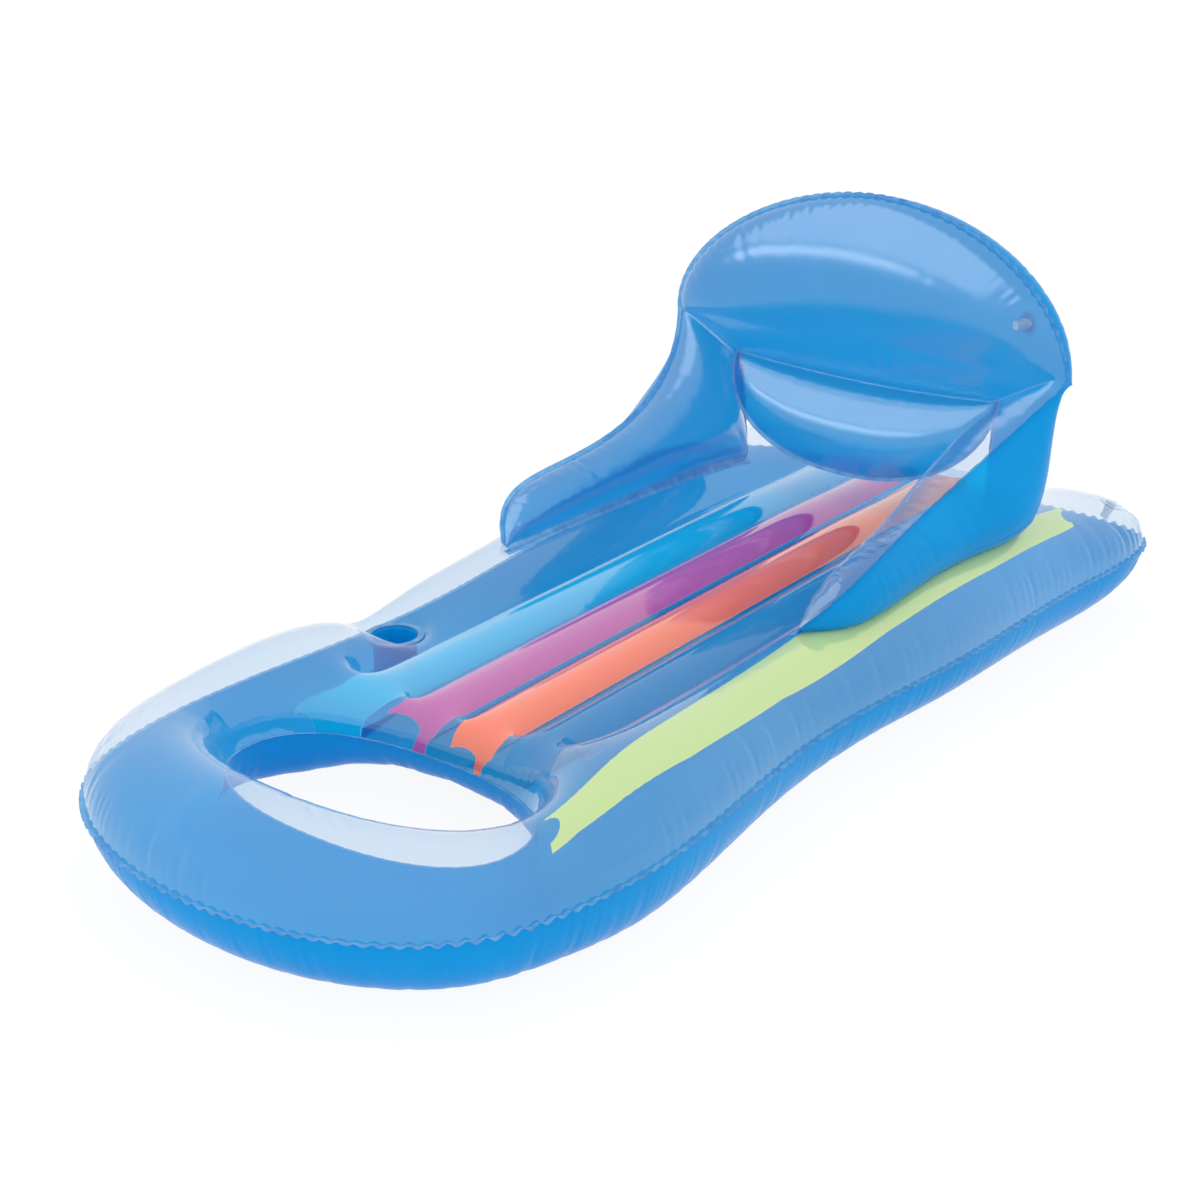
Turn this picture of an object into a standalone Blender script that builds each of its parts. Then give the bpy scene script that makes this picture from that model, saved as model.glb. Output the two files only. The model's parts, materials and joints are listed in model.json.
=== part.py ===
"""Inflatable pool lounger: a float of two welded PVC films with a foot hole, four channels,
a cup holder and a horseshoe backrest whose arms are welded to the float.

Metres, +Z up. +Y points to the head end, -Y to the foot hole, +X to the side without the
cup holder. The origin lies on the floor under the middle of the float.
"""
import math

import bpy
import numpy as np
from mathutils import Matrix, Vector
from mathutils.geometry import delaunay_2d_cdt

MM = 0.001

# Overall sizes, blown up
lounger_length = 1500 * MM
lounger_width = 714 * MM
lounger_height = 562 * MM

# Film and welds
film_thickness = 0.4 * MM
touch_gap = 0.3 * MM
weld_edge_width = 8 * MM
floor_flat_depth = 0.5 * MM

# Channels between the side tubes
channel_count = 4
channel_width = 79 * MM
beam_half_height = 27 * MM
beam_flange_width = 8 * MM
beam_front_passage = 44 * MM
beam_rear_passage = 52 * MM

# Foot hole
foot_hole_width = 382 * MM
foot_hole_length = 203 * MM
foot_tube_width = 158 * MM
foot_hole_corner_power = 2.3

# Cup holder, on the -X side tube. Its place is a share of the way from the channels to the
# outer weld, and a share of half the length
cup_radius = 28 * MM
cup_rim_width = 8 * MM
cup_rim_thickness = 1.2 * MM
cup_across_share = 0.335
cup_foot_share = 0.283

# Backrest
backrest_width = 590 * MM
backrest_fullness_share = 0.72
headrest_power = 1.9
headrest_bow = 50 * MM
headrest_lean_share = 0.167
neck_pull_share = 0.44
tongue_depth_share = 0.217
tongue_power = 1.7
tongue_lean_share = 0.47
crease_half_thickness = 16 * MM
arm_strip_half_width = 5 * MM
arm_strip_thickness = 0.5 * MM
arm_rest_clearance = 3 * MM

# Valves
valve_base_radius = 16 * MM
valve_base_thickness = 1.2 * MM
valve_guide_wall = 1.0 * MM
valve_guide_length = 8 * MM
valve_stem_radius = 6 * MM
valve_bore_radius = 4.4 * MM
valve_stem_length = 22 * MM
valve_rim_width = 2.2 * MM
valve_rim_thickness = 0.8 * MM
valve_plug_depth = 5 * MM
valve_plug_tip_radius = 3.2 * MM
valve_plug_root_radius = 4.0 * MM
valve_cap_thickness = 1.0 * MM
valve_hinge_reach = 14 * MM
valve_strap_width = 5 * MM
valve_flap_thickness = 0.5 * MM
valve_running_gap = 0.3 * MM

# How fine the meshes are
turned_segments = 16
edge_pitch = 72 * MM
hole_pitch_share = 0.72
row_pitch = 101 * MM
tube_row_shares = (0.10, 0.42, 0.80, 1.12, 1.5)
hole_row_shares = (0.12, 0.45)
channel_row_shares = (0.2, 0.5, 0.8)
weld_row_clear_share = 0.12
row_clear_share = 0.42
weld_band_steps = 8
dome_steps = 18
neck_steps = 12
panel_rows = 6
panel_columns = 11
panel_row_shares = (0.06, 0.22, 0.5)
tongue_row_shares = (0.09, 0.3, 0.5)
panel_clear_share = 0.7
arm_rows = 5
arm_heel_columns = 3
fat_tube_share = 0.7
sliver_share = 1e-5
curve_samples = 201
crease_angle = math.radians(30)

# Outline of the float's weld, from the middle of the foot end to the middle of the head end,
# as shares of half its width and half its length
outline_shares = [(0, -1), (0.83, -0.80), (0.863, -0.756), (0.93, -0.533), (0.872, -0.133),
                  (0.948, 0.267), (1.0, 0.693), (0.953, 0.957), (0.572, 1.0)]

# Upper weld of an arm, from the shoulder forwards, as control points of one Bezier curve in
# shares of half the backrest's width, half the float's length and the whole height
arm_curve_shares = [(1.0, 0.650, 0.645), (0.82, 0.545, 0.480), (0.627, 0.229, 0.345),
                    (1.054, 0.082, 0.484)]

# Both ends of an arm's foot: across as a share of the way from the outer beam to the float's
# side, and along as a share of half the float's length
arm_tip_share = (0.2783, -0.018)
arm_heel_share = (0.1503, 0.674)

# Ends of the weld between headrest and lumbar tongue, and its middle
neck_end_share = (0.681, 0.652, 0.562)
neck_sag_share = 0.027

# Places of the valves
valve_side_share = 0.839
valve_head_share = 0.905
head_valve_side_share = 0.66
head_valve_height_share = 0.715

# The top film stands a little lower at the head end
head_droop_share = 0.38
head_droop_start_share = 0.5
head_droop_end_share = 0.85

half_length = lounger_length / 2 - weld_edge_width
half_width = lounger_width / 2 - weld_edge_width
tube_radius = (half_width - channel_count * channel_width / 2) / 2


def remove_everything():
    for thing in list(bpy.data.objects):
        bpy.data.objects.remove(thing)


def linear(hex_colour):
    """Linear colour from an sRGB hex string."""
    channels = [int(hex_colour[i:i + 2], 16) / 255 for i in (0, 2, 4)]
    return [c / 12.92 if c <= 0.04045 else ((c + 0.055) / 1.055) ** 2.4 for c in channels] + [1.0]


def plastic(name, hex_colour, alpha=1.0, roughness=0.12):
    material = bpy.data.materials.new(name)
    material.use_nodes = True
    shader = material.node_tree.nodes["Principled BSDF"]
    shader.inputs["Base Color"].default_value = linear(hex_colour)
    shader.inputs["Roughness"].default_value = roughness
    shader.inputs["Metallic"].default_value = 0.0
    shader.inputs["Alpha"].default_value = alpha
    material.diffuse_color = linear(hex_colour)
    return material


def make_object(name, points, faces, materials, frame=None):
    mesh = bpy.data.meshes.new(name)
    mesh.from_pydata([tuple(p) for p in points], [], [tuple(f) for f in faces])
    mesh.validate()
    mesh.shade_smooth()
    for material in materials:
        mesh.materials.append(material)
    thing = bpy.data.objects.new(name, mesh)
    bpy.context.scene.collection.objects.link(thing)
    if frame is not None:
        thing.matrix_world = frame
    return thing


# Curves

def closed_spline(knots, count):
    """Points spread evenly along a smooth closed curve through the knots."""
    knots = np.asarray(knots, float)
    size = len(knots)
    step = np.linalg.norm(np.roll(knots, -1, axis=0) - knots, axis=1)
    before = np.roll(step, 1)
    slope = (np.roll(knots, -1, axis=0) - knots) / step[:, None]
    system = np.zeros((size, size))
    for i in range(size):
        system[i, i - 1] += step[i]
        system[i, i] += 2 * (step[i] + before[i])
        system[i, (i + 1) % size] += before[i]
    tangent = np.linalg.solve(system, 3 * (step[:, None] * np.roll(slope, 1, axis=0)
                                           + before[:, None] * slope))
    curve = []
    for i in range(size):
        j = (i + 1) % size
        for t in np.linspace(0, 1, curve_samples, endpoint=False):
            curve.append((2 * t ** 3 - 3 * t ** 2 + 1) * knots[i] + (3 * t ** 2 - 2 * t ** 3) * knots[j]
                         + (t ** 3 - 2 * t ** 2 + t) * step[i] * tangent[i]
                         + (t ** 3 - t ** 2) * step[i] * tangent[j])
    return spread(np.array(curve), count, closed=True)


def spread(path, count, closed=False):
    """The same path with evenly spaced points."""
    path = np.asarray(path, float)
    if closed:
        path = np.vstack([path, path[:1]])
    along = np.concatenate([[0], np.cumsum(np.linalg.norm(np.diff(path, axis=0), axis=1))])
    stops = np.linspace(0, along[-1], count + 1 if closed else count)
    if closed:
        stops = stops[:-1]
    return np.stack([np.interp(stops, along, path[:, k]) for k in range(path.shape[1])], axis=1)


def path_length(path):
    return np.linalg.norm(np.diff(path, axis=0), axis=1).sum()


def bezier(controls, t):
    """Point on a Bezier curve by repeated halving."""
    points = np.asarray(controls, float)
    while len(points) > 1:
        points = points[:-1] * (1 - t) + points[1:] * t
    return points[0]


def arc(half_x, half_y, power, turn):
    """Points of a superellipse from +X through +Y, as far round as the turn."""
    angles = np.linspace(0, turn, curve_samples)
    c, s = np.cos(angles), np.sin(angles)
    return np.stack([half_x * np.sign(c) * np.abs(c) ** (2 / power),
                     half_y * np.sign(s) * np.abs(s) ** (2 / power)], axis=1)


def inside(points, loop):
    """Which plan points lie inside a closed loop."""
    points = np.atleast_2d(points)
    a = loop
    b = np.roll(loop, -1, axis=0)
    x, y = points[:, 0][:, None], points[:, 1][:, None]
    crosses = (a[:, 1] > y) != (b[:, 1] > y)
    run = np.where(np.abs(b[:, 1] - a[:, 1]) < 1e-12, 1e-12, b[:, 1] - a[:, 1])
    at = a[:, 0] + (y - a[:, 1]) / run * (b[:, 0] - a[:, 0])
    return (crosses & (x < at)).sum(1) % 2 == 1


def inset(loop, distance):
    """Points moved to the left of a closed loop's running direction."""
    run = np.roll(loop, -1, axis=0) - np.roll(loop, 1, axis=0)
    run /= np.linalg.norm(run, axis=1)[:, None]
    return loop + distance * np.stack([-run[:, 1], run[:, 0]], axis=1)


# Meshes

class Layout:
    """Plan points with the lines that the mesh must keep. A point too near an earlier one is left out."""

    def __init__(self):
        self.points = []
        self.lines = []
        self.groups = {}

    def line(self, group, path, closed=False):
        first = len(self.points)
        self.points.extend([tuple(p) for p in path])
        numbers = list(range(first, len(self.points)))
        self.lines.extend(zip(numbers[:-1], numbers[1:]))
        if closed:
            self.lines.append((numbers[-1], numbers[0]))
        self.groups.setdefault(group, []).extend(numbers)
        return numbers

    def loose(self, path, clear):
        for p in path:
            near = np.array(self.points) - np.array(p)[:2]
            if np.min((near ** 2).sum(1)) > clear ** 2:
                self.points.append(tuple(p))

    def triangles(self, outer, holes):
        result = delaunay_2d_cdt([Vector(p) for p in self.points], self.lines, [], 0, 1e-7)
        if len(result[0]) != len(self.points):
            raise ValueError("lines of the layout cross")
        plan = np.array(self.points)
        faces = np.array([f for f in result[2]])
        centres = plan[faces].mean(1)
        u, v = plan[faces[:, 1]] - plan[faces[:, 0]], plan[faces[:, 2]] - plan[faces[:, 0]]
        area = np.abs(u[:, 0] * v[:, 1] - u[:, 1] * v[:, 0])
        keep = inside(centres, outer) & (area > area.mean() * sliver_share)
        for hole in holes:
            keep &= ~inside(centres, hole)
        return plan, faces[keep]


def membrane(points, faces, pinned):
    """Squared half thickness of a blown-up pocket: its curvature is the same everywhere, as the
    pressure is, and the pinned points keep their value."""
    count = len(points)
    matrix = np.zeros((count, count))
    load = np.zeros(count)
    for k in range(3):
        a, b, c = faces[:, k], faces[:, (k + 1) % 3], faces[:, (k + 2) % 3]
        u, v = points[a] - points[c], points[b] - points[c]
        area = np.linalg.norm(np.cross(u, v), axis=1)
        weight = (u * v).sum(1) / area / 2
        np.add.at(matrix, (a, b), -weight)
        np.add.at(matrix, (b, a), -weight)
        np.add.at(matrix, (a, a), weight)
        np.add.at(matrix, (b, b), weight)
        np.add.at(load, a, area / 3)
    fixed = np.zeros(count, bool)
    value = np.zeros(count)
    for number, height in pinned.items():
        fixed[number] = True
        value[number] = height ** 2
    free = ~fixed
    load = load - matrix @ value
    value[free] = np.linalg.solve(matrix[np.ix_(free, free)], load[free])
    return np.sqrt(np.maximum(value, 0))


def vertex_normals(points, faces):
    normal = np.zeros_like(points)
    area = np.cross(points[faces[:, 1]] - points[faces[:, 0]], points[faces[:, 2]] - points[faces[:, 0]])
    for k in range(3):
        np.add.at(normal, faces[:, k], area)
    return normal / np.linalg.norm(normal, axis=1)[:, None]


def boundary_edges(faces):
    """Edges of one face only, in that face's direction."""
    edges = np.concatenate([faces[:, [k, (k + 1) % 3]] for k in range(3)])
    known = {tuple(e) for e in edges.tolist()}
    return [(a, b) for a, b in edges.tolist() if (b, a) not in known]


def boundary_loops(faces):
    following = dict(boundary_edges(faces))
    loops = []
    while following:
        start = next(iter(following))
        loop = [start]
        while following[loop[-1]] != start:
            loop.append(following[loop[-1]])
        for number in loop:
            del following[number]
        loops.append(loop)
    return loops


def film(name, points, faces, across, lift, side, loops, materials, lip_ends=None, lip_width=None,
         settle=None, stripe=None, places=None):
    """One welded film as a closed shell: the pocket's middle surface, lifted to one side, with a
    flat weld edge along the named loops. The places are points of the film that lie elsewhere."""
    inner = points + side * across * (touch_gap / 2 + lift)[:, None]
    for number, place in (places or {}).items():
        inner[number] = place
    outward = side * vertex_normals(inner, faces)
    shell_faces = faces.tolist()
    lips = []
    for loop in loops:
        ring = points[loop]
        run = np.roll(ring, -1, axis=0) - np.roll(ring, 1, axis=0)
        away = np.cross(run, across[loop])
        away /= np.linalg.norm(away, axis=1)[:, None]
        width = np.full(len(loop), weld_edge_width)
        if lip_width is not None:
            width = np.array([lip_width.get(n, weld_edge_width) for n in loop])
        edge = ring + away * width[:, None]
        if lip_ends is not None:
            for k, n in enumerate(loop):
                if n in lip_ends:
                    edge[k] = lip_ends[n]
        outward[loop] = side * across[loop] + away
        first = len(inner)
        inner = np.vstack([inner, edge + side * across[loop] * touch_gap / 2])
        outward = np.vstack([outward, side * across[loop]])
        lips.extend(range(first, len(inner)))
        count = len(loop)
        for k in range(count):
            a, b = loop[k], loop[(k + 1) % count]
            c, d = first + (k + 1) % count, first + k
            shell_faces += [(b, a, d), (b, d, c)]
    outer = inner + outward * film_thickness
    if settle is not None:
        inner, outer = settle(inner, outer)
    shell_faces = np.array(shell_faces)
    if side < 0:
        shell_faces = shell_faces[:, ::-1]
    shell(name, inner, outer, shell_faces, materials, stripe)
    return outer, shell_faces


def shell(name, inner, outer, faces, materials, stripe=None):
    """Closed body between two matching surfaces."""
    count = len(inner)
    rim = []
    for a, b in boundary_edges(faces):
        rim += [(b, a, a + count), (b, a + count, b + count)]
    everything = np.vstack([outer, inner])
    all_faces = faces.tolist() + (faces[:, ::-1] + count).tolist() + rim
    thing = make_object(name, everything, all_faces, materials)
    if stripe is not None:
        for polygon in thing.data.polygons:
            polygon.material_index = stripe(polygon.center)


def surface_height(points, faces, x, y):
    """Height of a surface over a plan point, or None beside it."""
    a, b, c = (points[faces[:, k]] for k in range(3))
    area = (b[:, 0] - a[:, 0]) * (c[:, 1] - a[:, 1]) - (b[:, 1] - a[:, 1]) * (c[:, 0] - a[:, 0])
    area = np.where(np.abs(area) < 1e-12, 1e-12, area)
    u = ((b[:, 0] - x) * (c[:, 1] - y) - (b[:, 1] - y) * (c[:, 0] - x)) / area
    v = ((c[:, 0] - x) * (a[:, 1] - y) - (c[:, 1] - y) * (a[:, 0] - x)) / area
    w = 1 - u - v
    hit = np.where((u > -1e-6) & (v > -1e-6) & (w > -1e-6))[0]
    if len(hit) == 0:
        return None
    heights = u[hit] * a[hit, 2] + v[hit] * b[hit, 2] + w[hit] * c[hit, 2]
    return heights.max()


def turned(profile, segments=turned_segments):
    """Points and faces of a turned body. The profile runs round the wall, or from pole to pole."""
    open_ends = profile[0][0] == 0 and profile[-1][0] == 0
    ring_profile = profile[1:-1] if open_ends else profile
    points = []
    for radius, height in ring_profile:
        for k in range(segments):
            angle = 2 * math.pi * k / segments
            points.append((radius * math.cos(angle), radius * math.sin(angle), height))
    rows = len(ring_profile)
    faces = []
    for row in range(rows - 1 if open_ends else rows):
        below = row * segments
        above = (row + 1) % rows * segments
        for k in range(segments):
            n = (k + 1) % segments
            faces.append((below + k, below + n, above + n, above + k))
    if open_ends:
        points += [(0, 0, profile[0][1]), (0, 0, profile[-1][1])]
        pole = len(points) - 2
        last = (rows - 1) * segments
        for k in range(segments):
            n = (k + 1) % segments
            faces.append((pole, n, k))
            faces.append((pole + 1, last + k, last + n))
    return points, faces


def box(low, high):
    xs, ys, zs = zip(low, high)
    points = [(x, y, z) for z in zs for y in ys for x in xs]
    faces = [(0, 2, 3, 1), (4, 5, 7, 6), (0, 1, 5, 4), (2, 6, 7, 3), (0, 4, 6, 2), (1, 3, 7, 5)]
    return points, faces


def join_shape(thing, points, faces, frame):
    """Adds a second shape to a body by a Boolean union."""
    tool = make_object(thing.name + "_added", points, faces, [], frame)
    tool.hide_render = True
    tool.display_type = "WIRE"
    union = thing.modifiers.new("union", "BOOLEAN")
    union.operation = "UNION"
    union.solver = "EXACT"
    union.object = tool


def attach(child, parent):
    bpy.context.view_layer.update()
    child.parent = parent
    child.matrix_parent_inverse = parent.matrix_world.inverted()


def local_frame(place, normal):
    """Matrix with its Z along the normal and its X level."""
    z = Vector(normal).normalized()
    x = Vector((0, 1, 0)).cross(z) if abs(z.y) < 0.9 else Vector((0, 0, 1)).cross(z)
    x.normalize()
    y = z.cross(x)
    frame = Matrix((x, y, z)).transposed().to_4x4()
    frame.translation = Vector(place)
    return frame


def circle_points(frame, radius, segments=turned_segments):
    return np.array([frame @ Vector((radius * math.cos(2 * math.pi * k / segments),
                                     radius * math.sin(2 * math.pi * k / segments), 0))
                     for k in range(segments)])


# The float's plan

seam_knots = [(x * half_width, y * half_length) for x, y in outline_shares]
seam_knots += [(0, half_length)] + [(-x, y) for x, y in seam_knots[:0:-1]]
seam_loop = closed_spline(seam_knots, round(path_length(np.array(seam_knots)) / edge_pitch))
seam_loop *= np.array([half_width, half_length]) / np.abs(seam_loop).max(axis=0)

hole_front = -half_length + foot_tube_width
hole_middle = hole_front + foot_hole_length / 2
hole_rear = hole_front + foot_hole_length
hole_loop = arc(foot_hole_width / 2, foot_hole_length / 2, foot_hole_corner_power, 2 * math.pi)[:-1]
hole_loop = spread(hole_loop, round(path_length(hole_loop) / edge_pitch / hole_pitch_share), closed=True)
hole_loop = hole_loop + (0, hole_middle)

beam_front = hole_rear + beam_front_passage
beam_rear = half_length - beam_rear_passage
beam_rows = np.linspace(beam_front, beam_rear, round((beam_rear - beam_front) / row_pitch) + 1)
beam_places = [(k - channel_count / 2) * channel_width for k in range(channel_count + 1)]

cup_centre = (beam_places[0] - cup_across_share * (half_width + beam_places[0]),
              -cup_foot_share * half_length)
cup_seat_radius = cup_radius + cup_rim_width

valve_hole_radius = (valve_stem_radius + valve_running_gap + valve_guide_wall + touch_gap)
valve_seat_radius = valve_base_radius + touch_gap

outer_beam = beam_places[-1]
arm_tip, arm_heel = (np.array([outer_beam + across * (half_width - outer_beam), along * half_length])
                     for across, along in (arm_tip_share, arm_heel_share))


def flat_circle(radius, segments=turned_segments):
    angles = 2 * math.pi * np.arange(segments) / segments
    return cup_centre + radius * np.stack([np.cos(angles), np.sin(angles)], axis=1)


def arm_band(side):
    """Both edges of the strip of top film that an arm is welded to, heel first."""
    run = (arm_tip - arm_heel) / np.linalg.norm(arm_tip - arm_heel)
    square = np.array([-run[1], run[0]]) * arm_strip_half_width
    steps = np.linspace(0, 1, weld_band_steps + 1)[:, None]
    centre = arm_heel + (arm_tip - arm_heel) * steps
    return [(centre + square) * (side, 1), (centre - square) * (side, 1)]


def floor_strips():
    """Both edges of each strip of the bottom film that lies on the floor, under the fat tubes."""
    inner_edge = [(side * beam_places[-1], y) for side in (-1, 1) for y in beam_rows]
    inner_edge = np.vstack([hole_loop, inner_edge])
    start = np.argmax(seam_loop[:, 1])
    seam = np.roll(seam_loop, -start, axis=0)
    gaps = np.sqrt(((seam[:, None] - inner_edge[None]) ** 2).sum(2))
    crest = (seam + inner_edge[gaps.argmin(1)]) / 2
    half_strip = math.sqrt(2 * tube_radius * floor_flat_depth)
    clear = np.sqrt(((crest - cup_centre) ** 2).sum(1)) > cup_seat_radius + tube_radius / 2
    fat = gaps.min(1) / 2 > tube_radius * fat_tube_share
    fat &= np.abs(crest[:, 1]) < half_length - foot_tube_width / 2 * fat_tube_share
    strips, run = [], []
    for k in range(len(crest)):
        if fat[k] and clear[k]:
            run.append(crest[k])
        if run and not (fat[k] and clear[k] and k < len(crest) - 1):
            strips.append(np.array(run))
            run = []
    edges = []
    for path in strips:
        if len(path) < 3:
            continue
        path[1:-1] = (path[:-2] + 2 * path[1:-1] + path[2:]) / 4
        along = np.gradient(path, axis=0)
        along /= np.linalg.norm(along, axis=1)[:, None]
        square = np.stack([-along[:, 1], along[:, 0]], axis=1) * half_strip
        edges.append((path + square, path - square))
    return edges


def float_layout(upper, valve_frame=None):
    layout = Layout()
    layout.line("seam", seam_loop, closed=True)
    layout.line("hole", hole_loop, closed=True)
    holes = [hole_loop]
    cup_edge = flat_circle(cup_radius + touch_gap)
    layout.line("cup", cup_edge, closed=True)
    layout.line("cup", flat_circle(cup_seat_radius + touch_gap), closed=True)
    if upper:
        holes.append(cup_edge)
        for side, name in ((-1, "left"), (1, "right")):
            edges = [layout.line("band_" + name, edge) for edge in arm_band(side)]
            layout.lines.extend(zip(edges[0], edges[1]))
    else:
        layout.line("cup", [cup_centre])
        for first, second in floor_strips():
            edges = [layout.line("floor", edge) for edge in (first, second)]
            layout.lines.extend(zip(edges[0], edges[1]))
    if valve_frame is not None:
        opening = circle_points(valve_frame, valve_hole_radius)
        seat = circle_points(valve_frame, valve_seat_radius)
        layout.line("valve", opening[:, :2], closed=True)
        layout.line("valve", seat[:, :2], closed=True)
        holes.append(opening[:, :2])
    for x in beam_places:
        layout.line("beam", [(x, y) for y in beam_rows])
    inward = 1 if inside(inset(seam_loop, weld_edge_width)[:1], seam_loop)[0] else -1
    for share in tube_row_shares:
        row = inset(seam_loop, inward * share * tube_radius)
        row = row[inside(row, seam_loop) & ~inside(row, hole_loop)]
        gap_to_edge = np.sqrt(((row[:, None] - seam_loop[None]) ** 2).sum(2)).min(1)
        in_tube = (np.abs(row[:, 0]) > beam_places[-1] + channel_width / 5) | (row[:, 1] < hole_rear)
        in_tube |= row[:, 1] > beam_rear
        row = row[(gap_to_edge > share * tube_radius - touch_gap) & in_tube]
        first = share == tube_row_shares[0]
        layout.loose(row, edge_pitch * (weld_row_clear_share if first else row_clear_share))
    inward = -1 if inside(inset(hole_loop, weld_edge_width)[:1], hole_loop)[0] else 1
    for share in hole_row_shares:
        row = inset(hole_loop, inward * share * foot_tube_width / 2)
        layout.loose(row, edge_pitch * min(share, row_clear_share))
    ends = np.array([beam_front - beam_front_passage / 2, beam_rear + beam_rear_passage / 2])
    rows = np.concatenate([ends[:1], beam_rows, ends[1:]])
    for left in beam_places[:-1]:
        for share in channel_row_shares:
            layout.loose([(left + share * channel_width, y) for y in rows], channel_width / 6)
    plan, faces = layout.triangles(seam_loop, holes)
    return layout, plan, faces


def blow_up(layout, plan, faces, floor_depth=None):
    """Half thickness of the float over each plan point."""
    pinned = {n: 0.0 for n in layout.groups["seam"] + layout.groups["hole"]}
    pinned.update({n: beam_half_height for n in layout.groups["beam"] + layout.groups["cup"]})
    if floor_depth is not None:
        pinned.update({n: floor_depth for n in layout.groups["floor"]})
    flat = np.column_stack([plan, np.zeros(len(plan))])
    return flat, membrane(flat, faces, pinned)


def droop(plan, lift):
    """The top film's half thickness, less towards the head end."""
    start, end = head_droop_start_share * half_length, head_droop_end_share * half_length
    t = np.clip((plan[:, 1] - start) / (end - start), 0, 1)
    over = np.maximum(lift - beam_half_height, 0)
    return lift - over * head_droop_share * t * t * (3 - 2 * t)


remove_everything()

blue_film = plastic("blue_film", "2F93D6", alpha=0.8)
clear_film = plastic("clear_film", "C9DDF2", alpha=0.4)
stripe_inks = [plastic("ink_cyan", "4DB8E8"), plastic("ink_magenta", "C76FB4"),
               plastic("ink_orange", "FF7D50"), plastic("ink_lime", "C9DE8E")]
welded_film = plastic("welded_film", "8FC0E8")
valve_plastic = plastic("valve_plastic", "D9E8F6", roughness=0.3)

# Bottom film: blue, pressed flat where it stands

low_layout, low_plan, low_faces = float_layout(upper=False)
low_flat, free_lift = blow_up(low_layout, low_plan, low_faces)
floor_depth = free_lift.max() - floor_flat_depth
low_flat, low_lift = blow_up(low_layout, low_plan, low_faces, floor_depth)
seam_height = floor_depth + touch_gap / 2 + film_thickness
up = np.array([0.0, 0.0, 1.0])


def press_on_floor(inner, outer):
    """Lays flat on the floor what comes nearest to it."""
    lying = outer[:, 2] < floor_flat_depth
    outer[lying, 2] = 0
    inner[lying, 2] = film_thickness
    return inner, outer


low_points = low_flat + up * seam_height
film("mattress_bottom_film", low_points, low_faces, np.tile(up, (len(low_points), 1)), low_lift, -1,
     boundary_loops(low_faces), [blue_film], settle=press_on_floor)

# Top film: clear, with the stripes printed on it. Its valve seat is a flat disc that faces
# the way the film faces there, so the film is blown up once without it to learn that way

first_layout, first_plan, first_faces = float_layout(upper=True)
first_flat, first_lift = blow_up(first_layout, first_plan, first_faces)
first_lift = droop(first_plan, first_lift)
first_top = first_flat + up * (seam_height + touch_gap / 2 + first_lift)[:, None]
valve_spot = (valve_side_share * half_width, valve_head_share * half_length)
slope_x = [surface_height(first_top, first_faces, valve_spot[0] + s * valve_base_radius, valve_spot[1])
           for s in (-1, 1)]
slope_y = [surface_height(first_top, first_faces, valve_spot[0], valve_spot[1] + s * valve_base_radius)
           for s in (-1, 1)]
valve_normal = (slope_x[0] - slope_x[1], slope_y[0] - slope_y[1], 2 * valve_base_radius)
valve_place = (*valve_spot, surface_height(first_top, first_faces, *valve_spot))
valve_frame = local_frame(valve_place, valve_normal)

top_layout, top_plan, top_faces = float_layout(upper=True, valve_frame=valve_frame)
top_flat, top_lift = blow_up(top_layout, top_plan, top_faces)
top_lift = droop(top_plan, top_lift)
top_seat = np.vstack([circle_points(valve_frame, r) for r in (valve_hole_radius, valve_seat_radius)])
top_points = top_flat + up * seam_height
top_loops = [loop for loop in boundary_loops(top_faces)
             if loop[0] in set(top_layout.groups["seam"] + top_layout.groups["hole"])]


def stripe_at(centre):
    """Which printed stripe a face of the top film lies in, or 0 between them."""
    if not beam_front - beam_front_passage / 2 < centre.y < beam_rear:
        return 0
    for k in range(3):
        if beam_places[k] < centre.x < beam_places[k + 1]:
            return k + 1
    lime_middle = (beam_places[-1] + half_width) / 2
    return 4 if abs(centre.x - lime_middle) < channel_width / 3 else 0


top_outer, top_film_faces = film(
    "mattress_top_film", top_points, top_faces, np.tile(up, (len(top_points), 1)), top_lift, 1,
    top_loops, [clear_film] + stripe_inks, stripe=stripe_at,
    places=dict(zip(top_layout.groups["valve"], top_seat)))

# Beams: upright strips of film between the two films, one along each side of every channel

beam_top = beam_half_height - touch_gap
for number, x in enumerate(beam_places):
    web = film_thickness / 2
    flange = beam_flange_width / 2
    foot = beam_top - film_thickness
    section = [(-flange, -beam_top), (flange, -beam_top), (flange, -foot), (web, -foot), (web, foot),
               (flange, foot), (flange, beam_top), (-flange, beam_top), (-flange, foot), (-web, foot),
               (-web, -foot), (-flange, -foot)]
    size = len(section)
    points = [(x + u, y, seam_height + v) for y in (beam_front, beam_rear) for u, v in section]
    faces = [(k, (k + 1) % size, (k + 1) % size + size, k + size) for k in range(size)]
    faces = [face[::-1] for face in faces]
    faces += [tuple(range(size)), tuple(range(2 * size - 1, size - 1, -1))]
    beam = make_object("beam_%d" % (number + 1), points, faces, [clear_film])
    beam.data.set_sharp_from_angle(angle=crease_angle)

# Cup holder: a tube of film between the two films, turned out flat at both ends and welded

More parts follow.
